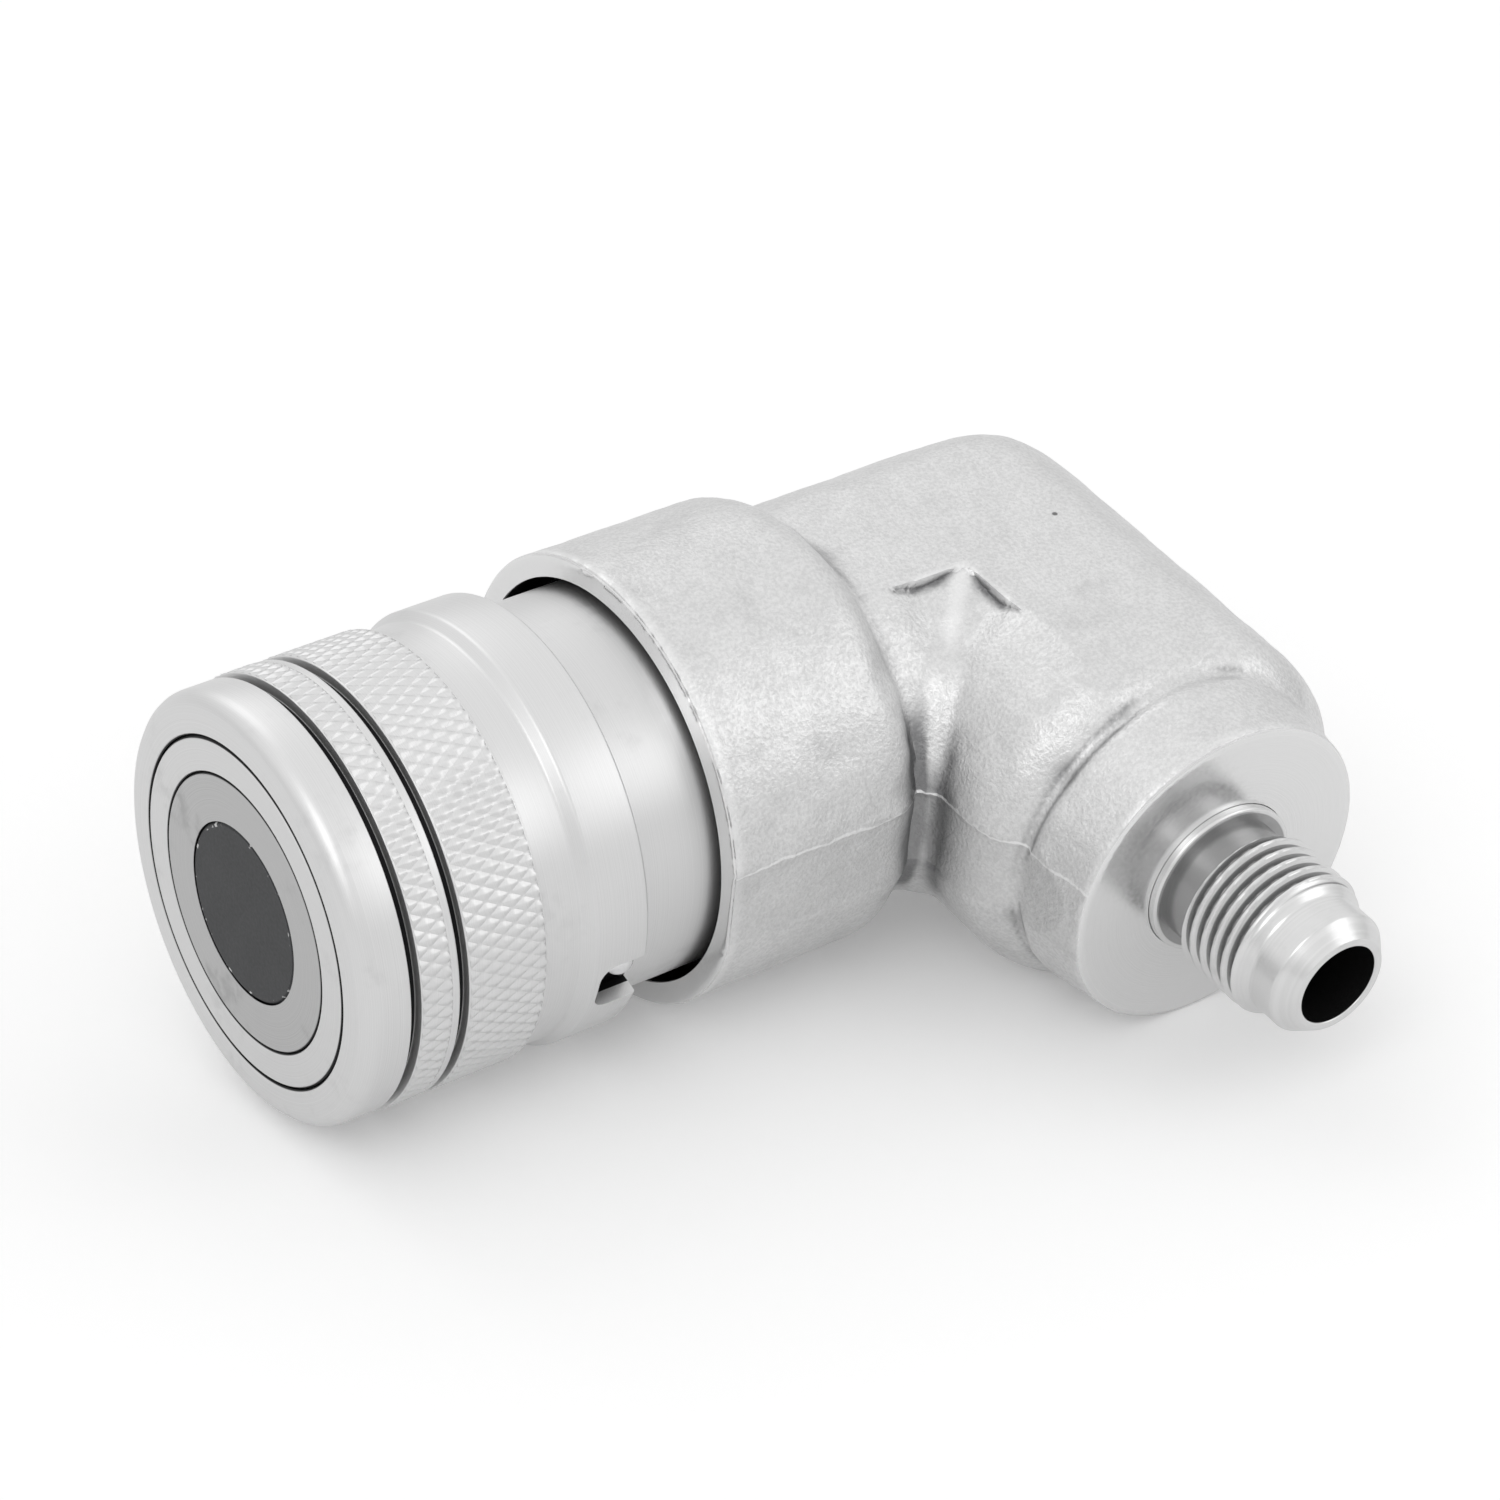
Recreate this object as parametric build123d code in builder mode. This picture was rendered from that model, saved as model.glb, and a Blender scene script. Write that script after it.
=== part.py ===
from build123d import *
import os
from math import asin, atan2, cos, degrees, hypot, radians, sin, tan

# Flat face hydraulic coupler, female half, in a forged elbow with a flared male port.
# Millimetres. The origin is the centre of the mating face, +X runs into the coupler, +Z is up
# as the part lies at rest on its collar and on the edge of its port flange.

# Driving dimensions: mating end
nose_wall = 4.35
cage_wall = 3.25
shoulder_height = 2.0
sliding_gap = 0.05
bore_gap = 0.08
mouth_chamfer = 0.15
face_edge = 0.25

# Driving dimensions: lock sleeve
waist_wall = 1.21
knurl_height = 0.6
nose_drop = 0.1
band_height = 0.8
sleeve_length = 28.1
nose_round = 2.4
groove_width = 0.9
groove_depth = 0.95
front_groove_x = 4.5
rear_groove_x = 9.2
knurl_end_x = 17.9
waist_end_x = 21.8
band_rise = 0.9
sleeve_edge = 0.35
sleeve_gap = 0.09
front_land = 2.4
recess_gap = 0.15
ramp_angle = 45
lock_land_end_x = 13.2

# Driving dimensions: locking balls and stop ball
ball_r = 2.38
ball_count = 12
ball_x = 8.6
ball_gap = 0.04
ball_lip = 0.28
stop_ball_r = 1.5
stop_ball_setback = 1.6
stop_ball_offset = 0.1
stop_ball_angle = 108.6
notch_angle = 111.4
notch_width = 5.2
notch_depth = 4.6
notch_corner_r = 1.6

# Driving dimensions: coupler body
body_r = 17.8
shoulder_x = 24.3
body_end_x = 53.9
valve_stop_x = 17.0
flange_gap = 0.1
carrier_x = 38.0
carrier_bore_step = 0.6
body_edge = 0.4

# Driving dimensions: seals
valve_seal_x = 12.4
valve_seal_section_r = 0.8
body_seal_x = 48.6
body_seal_section_r = 0.85
backup_width = 1.2
stem_seal_x = 2.3
stem_seal_section_r = 0.7
adapter_seal_section_r = 0.75
seal_gap = 0.02

# Driving dimensions: springs
sleeve_wire_r = 0.65
sleeve_turns = 4
seat_ring_thickness = 1.0
valve_wire_r = 0.85
valve_turns = 5
spring_gap = 0.15

# Driving dimensions: valve sleeve
valve_nose_length = 4.0
nose_lip = 1.05
valve_flange_rise = 1.35
valve_flange_length = 2.4
valve_tail_step = 1.25
valve_length = 27.0

# Driving dimensions: stem and its carrier
stem_head_length = 3.4
stem_shaft_r = 4.0
stem_cone_end_x = 7.2
stem_spigot_r = 3.0
carrier_length = 5.0
carrier_hub_r = 5.6
carrier_rim_width = 3.0
window_count = 4
window_web = 3.0
washer_r = 5.2
washer_thickness = 1.0
nut_flats = 9.0
nut_height = 4.0
spigot_past_nut = 0.8
ring_groove_depth = 0.9
ring_thickness = 1.2
ring_reach = 2.2
ring_opening = 60

# Driving dimensions: elbow
collar_x = 36.3
collar_wall = 2.15
collar_bevel = 0.4
collar_gap = 0.95
collar_bore_depth = 5.0
collar_foot = 23.3
collar_round_r = 4.8
crossing_x = 76.3
leg_r = 18.4
flat_depth = 1.4
outer_corner_r = 9.0
inner_corner_r = 2.6
port_shoulder_start = 26.0
port_shoulder_end = 33.5
port_shoulder_r = 8.5
port_ramp_start = 23.9
forging_step = 0.25
leg_trim = 0.4
collar_trim = 0.35
corner_step_face = 7.5
corner_step_reach = 15.5
corner_step_width = 3.5
corner_step_height = 0.35
corner_step_root = 0.6
flange_face = 37.3
flange_taper = 0.6
flange_root_step = 2.6
flange_edge = 0.5
chamber_step = 2.4
body_chamber_end_x = 60.0
passage_r = 8.0
passage_end_x = 82.0
drill_point_angle = 118

# Driving dimensions: flared port adapter, 9/16-18 thread
adapter_root_r = 7.45
adapter_root_proud = 0.8
adapter_root_depth = 10.0
adapter_seal_depth = 7.8
adapter_fit_gap = 0.05
neck_r = 6.15
neck_end = 40.9
thread_r = 7.144
thread_end = 48.2
flare_r = 6.1
flare_start = 49.5
flare_cone_start = 52.3
flare_angle = 37
nose_end = 54.1
port_bore_r = 4.0
thread_chamfer = 0.55

# Places that follow the sleeve's length and the crossing
stop_ball_x = sleeve_length - stop_ball_setback
collar_straight_end_x = crossing_x - collar_foot

# Radii that follow the body's, inwards to the stem and outwards to the collar
cage_r = body_r - shoulder_height
valve_r = cage_r - cage_wall
stem_r = valve_r - nose_wall
valve_bore_r = valve_r + bore_gap
ball_centre_r = valve_r + ball_gap + ball_r
recess_r = ball_centre_r + ball_r + recess_gap
sleeve_bore_r = body_r + sleeve_gap
waist_r = sleeve_bore_r + waist_wall
knurl_r = waist_r + knurl_height
nose_r = knurl_r - nose_drop
band_r = waist_r + band_height
stop_ball_centre_r = body_r + stop_ball_offset
stem_bore_r = stem_r + sliding_gap
valve_inner_r = stem_bore_r + nose_lip
valve_tail_r = valve_r - valve_tail_step
valve_flange_r = valve_r + valve_flange_rise
chamber_r = valve_flange_r + flange_gap
carrier_bore_r = chamber_r + carrier_bore_step
carrier_rim_r = carrier_bore_r - carrier_rim_width
ring_bore_r = carrier_bore_r - ring_reach
collar_bore_r = body_r + collar_gap
collar_r = collar_bore_r + collar_wall
body_chamber_r = body_r - chamber_step
plateau_height = leg_r - flat_depth
flange_root_r = leg_r - flange_root_step
flange_r = flange_root_r - flange_taper
trim_half_width = leg_r - leg_trim
collar_trim_half_width = collar_r - collar_trim

# The elbow lies on its collar and the lower edge of its flange, which tips the port down.
port_dip = degrees(asin(collar_r / hypot(flange_face, flange_r)) - atan2(flange_r, flange_face))
crossing = Vector(crossing_x, 0, 0)
port_direction = Vector(0, -cos(radians(port_dip)), -sin(radians(port_dip)))
elbow_plane = Plane(
    origin=crossing,
    x_dir=(1, 0, 0),
    z_dir=(0, -sin(radians(port_dip)), cos(radians(port_dip))),
)
port_section = Plane(origin=crossing, x_dir=port_direction, z_dir=(-1, 0, 0))
port_start = Plane(origin=crossing, x_dir=(1, 0, 0), z_dir=port_direction)
port_axis = Axis(crossing, port_direction)

# Places worked out from the sizes above
land_r = cage_r + sleeve_gap
seal_squeeze = 2 * seal_gap
spigot_start_x = carrier_x
washer_x = carrier_x + carrier_length
nut_x = washer_x + washer_thickness
ring_x = washer_x
bore_step_x = collar_x + collar_bore_depth
root_start = flange_face - adapter_root_depth


def around(x, angle):
    """Plane with its normal pointing out from the coupler axis, angle degrees from +Z towards -Y."""
    return Plane(
        origin=(x, 0, 0),
        x_dir=(1, 0, 0),
        z_dir=(0, -sin(radians(angle)), cos(radians(angle))),
    )


def at_angle(x, radius, angle):
    """Point at a radius from the coupler axis."""
    return around(x, angle).from_local_coords(Vector(0, 0, radius))


# Lock sleeve: turned ring with two grooves, a knurled grip, a waist and a rear band
ramp_top_x = ball_x + (ball_r + ball_gap) / sin(radians(ramp_angle)) - (recess_r - ball_centre_r)
ramp_end_x = ramp_top_x + recess_r - land_r
with BuildPart() as lock_sleeve:
    with BuildSketch(Plane.XZ):
        with BuildLine():
            TangentArc((0, nose_r - nose_round), (nose_round, nose_r), tangent=(0, 1))
            Polyline(
                (nose_round, nose_r),
                (front_groove_x, nose_r),
                (front_groove_x, nose_r - groove_depth),
                (front_groove_x + groove_width, nose_r - groove_depth),
                (front_groove_x + groove_width, knurl_r),
                (rear_groove_x, knurl_r),
                (rear_groove_x, knurl_r - groove_depth),
                (rear_groove_x + groove_width, knurl_r - groove_depth),
                (rear_groove_x + groove_width, knurl_r),
                (knurl_end_x, knurl_r),
                (knurl_end_x, waist_r),
                (waist_end_x, waist_r),
                (waist_end_x + band_rise, band_r),
                (sleeve_length - sleeve_edge, band_r),
                (sleeve_length, band_r - sleeve_edge),
                (sleeve_length, sleeve_bore_r),
                (lock_land_end_x, sleeve_bore_r),
                (lock_land_end_x, land_r),
                (ramp_end_x, land_r),
                (ramp_top_x, recess_r),
                (front_land, recess_r),
                (front_land, land_r),
                (face_edge, land_r),
                (0, land_r + face_edge),
                (0, nose_r - nose_round),
            )
        make_face()
    revolve(axis=Axis.X)
    with BuildSketch(around(sleeve_length, notch_angle)):
        RectangleRounded(2 * notch_depth, notch_width, notch_corner_r)
    extrude(amount=2 * band_r, mode=Mode.SUBTRACT)
lock_sleeve.part.label = "lock_sleeve"

# Coupler body: front ball cage, shoulder for the sleeve spring, long shank held in the elbow
valve_seal_groove_r = valve_r + 2 * valve_seal_section_r + seal_squeeze
body_seal_groove_r = body_r - 2 * body_seal_section_r + sliding_gap
with BuildPart() as coupler_body:
    with BuildSketch(Plane.XZ):
        with BuildLine():
            Polyline(
                (0, valve_bore_r + mouth_chamfer),
                (0, cage_r - face_edge),
                (face_edge, cage_r),
                (shoulder_x, cage_r),
                (shoulder_x, body_r),
                (body_seal_x - body_seal_section_r - seal_gap, body_r),
                (body_seal_x - body_seal_section_r - seal_gap, body_seal_groove_r),
                (body_seal_x + body_seal_section_r + backup_width + 2 * seal_gap, body_seal_groove_r),
                (body_seal_x + body_seal_section_r + backup_width + 2 * seal_gap, body_r),
                (body_end_x - body_edge, body_r),
                (body_end_x, body_r - body_edge),
                (body_end_x, carrier_bore_r),
                (ring_x + ring_thickness + sliding_gap, carrier_bore_r),
                (ring_x + ring_thickness + sliding_gap, carrier_bore_r + ring_groove_depth),
                (ring_x, carrier_bore_r + ring_groove_depth),
                (ring_x, carrier_bore_r),
                (carrier_x, carrier_bore_r),
                (carrier_x, chamber_r),
                (valve_stop_x, chamber_r),
                (valve_stop_x, valve_bore_r),
                (valve_seal_x + valve_seal_section_r + backup_width + 2 * seal_gap, valve_bore_r),
                (valve_seal_x + valve_seal_section_r + backup_width + 2 * seal_gap, valve_seal_groove_r),
                (valve_seal_x - valve_seal_section_r - seal_gap, valve_seal_groove_r),
                (valve_seal_x - valve_seal_section_r - seal_gap, valve_bore_r),
                (mouth_chamfer, valve_bore_r),
                (0, valve_bore_r + mouth_chamfer),
            )
        make_face()
    revolve(axis=Axis.X)
    for number in range(ball_count):
        pocket = around(ball_x, number * 360 / ball_count)
        with BuildSketch(pocket.offset(valve_r)):
            Circle(ball_r - ball_lip)
        with BuildSketch(pocket.offset(ball_centre_r - ball_r / 2)):
            Circle(ball_r + ball_gap)
        loft(mode=Mode.SUBTRACT)
        with BuildSketch(pocket.offset(ball_centre_r - ball_r / 2)):
            Circle(ball_r + ball_gap)
        extrude(amount=ball_r * 2, mode=Mode.SUBTRACT)
    with BuildSketch(around(stop_ball_x, stop_ball_angle).offset(stop_ball_centre_r - stop_ball_r)):
        Circle(stop_ball_r + sliding_gap)
    extrude(amount=stop_ball_r * 2, mode=Mode.SUBTRACT)
coupler_body.part.label = "coupler_body"

# Locking balls, held out by the valve sleeve while nothing is plugged in
ball_places = [at_angle(ball_x, ball_centre_r, number * 360 / ball_count) for number in range(ball_count)]
with BuildPart() as locking_balls:
    with Locations(*ball_places):
        Sphere(ball_r)
locking_balls.part.label = "locking_balls"

# Stop ball of the safety lock, seated in the body and standing in the sleeve's notch
with BuildPart() as stop_ball:
    with Locations(at_angle(stop_ball_x, stop_ball_centre_r, stop_ball_angle)):
        Sphere(stop_ball_r)
stop_ball.part.label = "stop_ball"

# Seat ring between the sleeve's shoulder and its spring
seat_ring_x = lock_land_end_x + sliding_gap
with BuildPart() as spring_seat_ring:
    with BuildSketch(Plane.YZ.offset(seat_ring_x)):
        Circle(sleeve_bore_r - sliding_gap)
        Circle(cage_r + sliding_gap, mode=Mode.SUBTRACT)
    extrude(amount=seat_ring_thickness)
spring_seat_ring.part.label = "spring_seat_ring"


def coil(start_x, end_x, mean_r, wire_r, turns):
    """Compression spring along the coupler axis between two seats."""
    length = end_x - start_x - 2 * (wire_r + spring_gap)
    path = Helix(
        pitch=length / turns,
        height=length,
        radius=mean_r,
        center=(start_x + wire_r + spring_gap, 0, 0),
        direction=(1, 0, 0),
    )
    with BuildPart() as spring:
        with BuildSketch(Plane(origin=path @ 0, z_dir=path % 0)):
            Circle(wire_r)
        sweep(path=path, is_frenet=True)
    return spring


# Lock sleeve spring, between the seat ring and the body's shoulder
sleeve_spring_start = seat_ring_x + seat_ring_thickness
sleeve_spring = coil(
    sleeve_spring_start, shoulder_x, (cage_r + sleeve_bore_r) / 2, sleeve_wire_r, sleeve_turns
)
sleeve_spring.part.label = "sleeve_spring"

# Valve sleeve: the sliding ring that closes the mouth round the stem's head
valve_flange_x = valve_stop_x + sliding_gap
stem_seal_groove_r = stem_r + 2 * stem_seal_section_r + seal_squeeze
with BuildPart() as valve_sleeve:
    with BuildSketch(Plane.XZ):
        with BuildLine():
            Polyline(
                (0, stem_bore_r),
                (0, valve_r - mouth_chamfer),
                (mouth_chamfer, valve_r),
                (valve_flange_x, valve_r),
                (valve_flange_x, valve_flange_r),
                (valve_flange_x + valve_flange_length, valve_flange_r),
                (valve_flange_x + valve_flange_length, valve_tail_r),
                (valve_length - body_edge, valve_tail_r),
                (valve_length, valve_tail_r - body_edge),
                (valve_length, valve_inner_r),
                (valve_nose_length + valve_inner_r - stem_bore_r, valve_inner_r),
                (valve_nose_length, stem_bore_r),
                (stem_seal_x + stem_seal_section_r + seal_gap, stem_bore_r),
                (stem_seal_x + stem_seal_section_r + seal_gap, stem_seal_groove_r),
                (stem_seal_x - stem_seal_section_r - seal_gap, stem_seal_groove_r),
                (stem_seal_x - stem_seal_section_r - seal_gap, stem_bore_r),
                (0, stem_bore_r),
            )
        make_face()
    revolve(axis=Axis.X)
valve_sleeve.part.label = "valve_sleeve"

# Valve spring, between the valve's flange and the stem carrier
valve_spring_start = valve_flange_x + valve_flange_length
valve_spring = coil(
    valve_spring_start, carrier_x, (valve_tail_r + chamber_r) / 2, valve_wire_r, valve_turns
)
valve_spring.part.label = "valve_spring"


def o_ring(x, inner_r, section_r):
    """Round seal on the coupler axis."""
    with BuildPart() as ring:
        with BuildSketch(Plane.XZ):
            with Locations((x, inner_r + seal_gap + section_r)):
                Circle(section_r)
        revolve(axis=Axis.X)
    return ring


def flat_ring(x, width, inner_r, outer_r):
    """Square-edged ring on the coupler axis."""
    with BuildPart() as ring:
        with BuildSketch(Plane.YZ.offset(x)):
            Circle(outer_r)
            Circle(inner_r, mode=Mode.SUBTRACT)
        extrude(amount=width)
    return ring


# Seal and backup ring round the valve sleeve
valve_seal = o_ring(valve_seal_x, valve_r, valve_seal_section_r)
valve_seal.part.label = "valve_seal"
valve_backup_ring = flat_ring(
    valve_seal_x + valve_seal_section_r + seal_gap,
    backup_width,
    valve_r + sliding_gap,
    valve_seal_groove_r - seal_gap,
)
valve_backup_ring.part.label = "valve_backup_ring"

# Seal in the valve sleeve's nose, on the stem's head
stem_seal = o_ring(stem_seal_x, stem_r, stem_seal_section_r)
stem_seal.part.label = "stem_seal"

# Seal and backup ring between the coupler body and the elbow
body_bore_r = body_r + sliding_gap
body_seal = o_ring(body_seal_x, body_seal_groove_r, body_seal_section_r - seal_gap)
body_seal.part.label = "body_seal"
body_backup_ring = flat_ring(
    body_seal_x + body_seal_section_r + seal_gap,
    backup_width,
    body_seal_groove_r + seal_gap,
    body_r,
)
body_backup_ring.part.label = "body_backup_ring"

# Fixed stem: flat head flush with the mating face, cone, shaft and threaded spigot
with BuildPart() as valve_stem:
    with BuildSketch(Plane.XZ):
        with BuildLine():
            Polyline(
                (0, 0),
                (0, stem_r - face_edge),
                (face_edge, stem_r),
                (stem_head_length, stem_r),
                (stem_cone_end_x, stem_shaft_r),
                (spigot_start_x, stem_shaft_r),
                (spigot_start_x, stem_spigot_r),
                (nut_x + nut_height + spigot_past_nut, stem_spigot_r),
                (nut_x + nut_height + spigot_past_nut, 0),
                (0, 0),
            )
        make_face()
    revolve(axis=Axis.X)
valve_stem.part.label = "valve_stem"

# Stem carrier: hub, webs and rim with windows for the oil
web_end_r = (carrier_rim_r + carrier_bore_r) / 2
with BuildPart() as stem_carrier:
    with BuildSketch(Plane.YZ.offset(carrier_x + sliding_gap)):
        Circle(carrier_bore_r - sliding_gap)
        Circle(carrier_rim_r, mode=Mode.SUBTRACT)
        with PolarLocations(0, window_count):
            with Locations((web_end_r / 2, 0)):
                Rectangle(web_end_r, window_web)
        Circle(carrier_hub_r)
        Circle(stem_spigot_r + sliding_gap, mode=Mode.SUBTRACT)
    extrude(amount=carrier_length - 2 * sliding_gap)
stem_carrier.part.label = "stem_carrier"

# Internal retaining ring behind the carrier, open at one side
opening_reach = 2 * carrier_bore_r * cos(radians(ring_opening / 2))
opening_half = 2 * carrier_bore_r * sin(radians(ring_opening / 2))
with BuildPart() as carrier_ring:
    with BuildSketch(Plane.YZ.offset(ring_x)):
        Circle(carrier_bore_r + ring_groove_depth - sliding_gap)
        Circle(ring_bore_r, mode=Mode.SUBTRACT)
        with BuildLine():
            Polyline((0, 0), (opening_reach, opening_half), (opening_reach, -opening_half), (0, 0))
        make_face(mode=Mode.SUBTRACT)
    extrude(amount=ring_thickness)
carrier_ring.part.label = "carrier_ring"

# Washer and hexagon nut that draw the stem against its carrier
stem_washer = flat_ring(washer_x, washer_thickness, stem_spigot_r + sliding_gap, washer_r)
stem_washer.part.label = "stem_washer"
with BuildPart() as stem_nut:
    with BuildSketch(Plane.YZ.offset(nut_x)):
        RegularPolygon(nut_flats / 2, 6, major_radius=False)
        Circle(stem_spigot_r + sliding_gap, mode=Mode.SUBTRACT)
    extrude(amount=nut_height)
stem_nut.part.label = "stem_nut"

# Elbow body: two round legs with flattened top and bottom, mitred at the corner
body_bore_end_x = body_end_x + sliding_gap
adapter_hole_r = adapter_root_r + adapter_fit_gap
collar_run = (collar_round_r**2 - (collar_round_r - collar_r + plateau_height) ** 2) ** 0.5
point_slope = 1 / tan(radians(drill_point_angle / 2))
with BuildPart() as elbow_body:
    with BuildLine(elbow_plane) as leg_path:
        Polyline(
            (collar_straight_end_x - crossing_x, 0),
            (0, 0),
            (0, -port_shoulder_end),
        )
    with BuildSketch(Plane(origin=(collar_straight_end_x, 0, 0), x_dir=elbow_plane.y_dir, z_dir=(1, 0, 0))):
        Circle(leg_r)
        Rectangle(3 * leg_r, 2 * plateau_height, mode=Mode.INTERSECT)
    sweep(path=leg_path.wire(), transition=Transition.RIGHT)
    mitre_edges = elbow_body.edges().filter_by(GeomType.ELLIPSE).sort_by(Axis.X)
    fillet(mitre_edges[0], inner_corner_r)
    fillet(elbow_body.edges().filter_by(GeomType.ELLIPSE).sort_by(Axis.X)[-2:], outer_corner_r)
    # Rounded shoulder at the end of the port leg
    with BuildSketch(port_section):
        with BuildLine():
            Polyline(
                (port_shoulder_end, flange_root_r),
                (2 * port_shoulder_end, flange_root_r),
                (2 * port_shoulder_end, 2 * leg_r),
                (port_shoulder_start, 2 * leg_r),
                (port_shoulder_start, leg_r + forging_step),
            )
            RadiusArc(
                (port_shoulder_start, leg_r + forging_step),
                (port_shoulder_end, flange_root_r),
                port_shoulder_r,
            )
        make_face()
    revolve(axis=port_axis, mode=Mode.SUBTRACT)
    # Top and bottom slope gently down to the flange, so that the flange's edge bears on the ground
    for side in (1, -1):
        with BuildSketch(port_section):
            with BuildLine():
                Polyline(
                    (port_ramp_start, side * (plateau_height + forging_step)),
                    (flange_face, side * flange_r),
                    (flange_face, side * 2 * leg_r),
                    (port_ramp_start, side * 2 * leg_r),
                    (port_ramp_start, side * (plateau_height + forging_step)),
                )
            make_face()
        extrude(amount=2 * leg_r, both=True, mode=Mode.SUBTRACT)
    # Collar that takes the coupler body
    with BuildSketch(Plane.XZ):
        with BuildLine():
            Polyline(
                (collar_straight_end_x + collar_run, 0),
                (collar_x, 0),
                (collar_x, collar_r - collar_bevel),
                (collar_x + collar_bevel, collar_r),
                (collar_straight_end_x, collar_r),
            )
            TangentArc(
                (collar_straight_end_x, collar_r),
                (collar_straight_end_x + collar_run, plateau_height),
                tangent=(1, 0),
            )
            Line(
                (collar_straight_end_x + collar_run, plateau_height),
                (collar_straight_end_x + collar_run, 0),
            )
        make_face()
    revolve(axis=Axis.X)
    # Round boss and machined flange of the port
    with BuildSketch(port_section):
        with BuildLine():
            Polyline(
                (port_shoulder_start, 0),
                (port_shoulder_start, flange_root_r),
                (port_shoulder_end, flange_root_r),
                (flange_face - flange_edge, flange_r),
                (flange_face, flange_r - flange_edge),
                (flange_face, 0),
                (port_shoulder_start, 0),
            )
        make_face()
    revolve(axis=port_axis)
    # Flat band where the forging's flash is trimmed off
    with BuildSketch(elbow_plane):
        with BuildLine():
            Polyline(
                (-crossing_x, collar_trim_half_width),
                (collar_straight_end_x + collar_run - crossing_x, collar_trim_half_width),
                (collar_straight_end_x + collar_run - crossing_x, trim_half_width),
                (trim_half_width, trim_half_width),
                (trim_half_width, -2 * port_shoulder_end),
                (-trim_half_width, -2 * port_shoulder_end),
                (-trim_half_width, -collar_trim_half_width),
                (-crossing_x, -collar_trim_half_width),
                (-crossing_x, collar_trim_half_width),
            )
        make_face()
    extrude(amount=collar_r, both=True, mode=Mode.INTERSECT)
    # Sharp step where the flat top and bottom meet the inner corner
    for side in (1, -1):
        with BuildLine(elbow_plane.offset(side * plateau_height)) as step_path:
            Polyline(
                (-corner_step_reach, -corner_step_face),
                (-corner_step_face, -corner_step_face),
                (-corner_step_face, -corner_step_reach),
            )
        with BuildSketch(Plane(origin=step_path.wire() @ 0, x_dir=port_direction, z_dir=(1, 0, 0))):
            with BuildLine():
                Polyline(
                    (0, -side * corner_step_height),
                    (-corner_step_width, 0),
                    (0, side * corner_step_root),
                    (0, -side * corner_step_height),
                )
            make_face()
        sweep(path=step_path.wire(), transition=Transition.RIGHT)
    # Bores for the coupler body and the oil
    with BuildSketch(Plane.XZ):
        with BuildLine():
            Polyline(
                (collar_x, 0),
                (collar_x, collar_bore_r),
                (bore_step_x, collar_bore_r),
                (bore_step_x, body_bore_r),
                (body_bore_end_x, body_bore_r),
                (body_bore_end_x, body_chamber_r),
                (body_chamber_end_x, body_chamber_r),
                (body_chamber_end_x + (body_chamber_r - passage_r) * point_slope, passage_r),
                (passage_end_x, passage_r),
                (passage_end_x + passage_r * point_slope, 0),
                (collar_x, 0),
            )
        make_face()
    revolve(axis=Axis.X, mode=Mode.SUBTRACT)
    with BuildSketch(port_start):
        Circle(port_bore_r)
    extrude(amount=flange_face, mode=Mode.SUBTRACT)
    with BuildSketch(port_start.offset(root_start)):
        Circle(adapter_hole_r)
    extrude(amount=adapter_root_depth, mode=Mode.SUBTRACT)
elbow_body.part.label = "elbow_body"

# Port adapter: root held in the elbow, neck, thread and flared nose
adapter_seal_place = flange_face - adapter_seal_depth
adapter_seal_groove_r = adapter_root_r - 2 * adapter_seal_section_r + sliding_gap
seal_half = adapter_seal_section_r + seal_gap
flare_lip_r = flare_r - (nose_end - flare_cone_start) * tan(radians(flare_angle))
with BuildPart() as port_adapter:
    with BuildSketch(port_section):
        with BuildLine():
            Polyline(
                (root_start + sliding_gap, port_bore_r),
                (root_start + sliding_gap, adapter_root_r - body_edge),
                (root_start + sliding_gap + body_edge, adapter_root_r),
                (adapter_seal_place - seal_half, adapter_root_r),
                (adapter_seal_place - seal_half, adapter_seal_groove_r),
                (adapter_seal_place + seal_half, adapter_seal_groove_r),
                (adapter_seal_place + seal_half, adapter_root_r),
                (flange_face + adapter_root_proud - face_edge, adapter_root_r),
                (flange_face + adapter_root_proud, adapter_root_r - face_edge),
                (flange_face + adapter_root_proud, neck_r),
                (neck_end, neck_r),
                (neck_end + thread_chamfer, thread_r),
                (thread_end, thread_r),
                (flare_start, flare_r),
                (flare_cone_start, flare_r),
                (nose_end, flare_lip_r),
                (nose_end, port_bore_r),
                (root_start + sliding_gap, port_bore_r),
            )
        make_face()
    revolve(axis=port_axis)
port_adapter.part.label = "port_adapter"

# Seal round the adapter's root
with BuildPart() as adapter_seal:
    with BuildSketch(port_section):
        with Locations((adapter_seal_place, adapter_seal_groove_r + adapter_seal_section_r)):
            Circle(adapter_seal_section_r - seal_gap)
    revolve(axis=port_axis)
adapter_seal.part.label = "adapter_seal"

os.makedirs("parts", exist_ok=True)
pieces = [
    lock_sleeve,
    coupler_body,
    locking_balls,
    stop_ball,
    spring_seat_ring,
    sleeve_spring,
    valve_sleeve,
    valve_spring,
    valve_seal,
    valve_backup_ring,
    stem_seal,
    body_seal,
    body_backup_ring,
    valve_stem,
    stem_carrier,
    carrier_ring,
    stem_washer,
    stem_nut,
    elbow_body,
    port_adapter,
    adapter_seal,
]
for piece in pieces:
    export_step(piece.part, f"parts/{piece.part.label}.step")
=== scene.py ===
import math
import bmesh
import bpy
import numpy as np
from mathutils import Matrix, Vector


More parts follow.
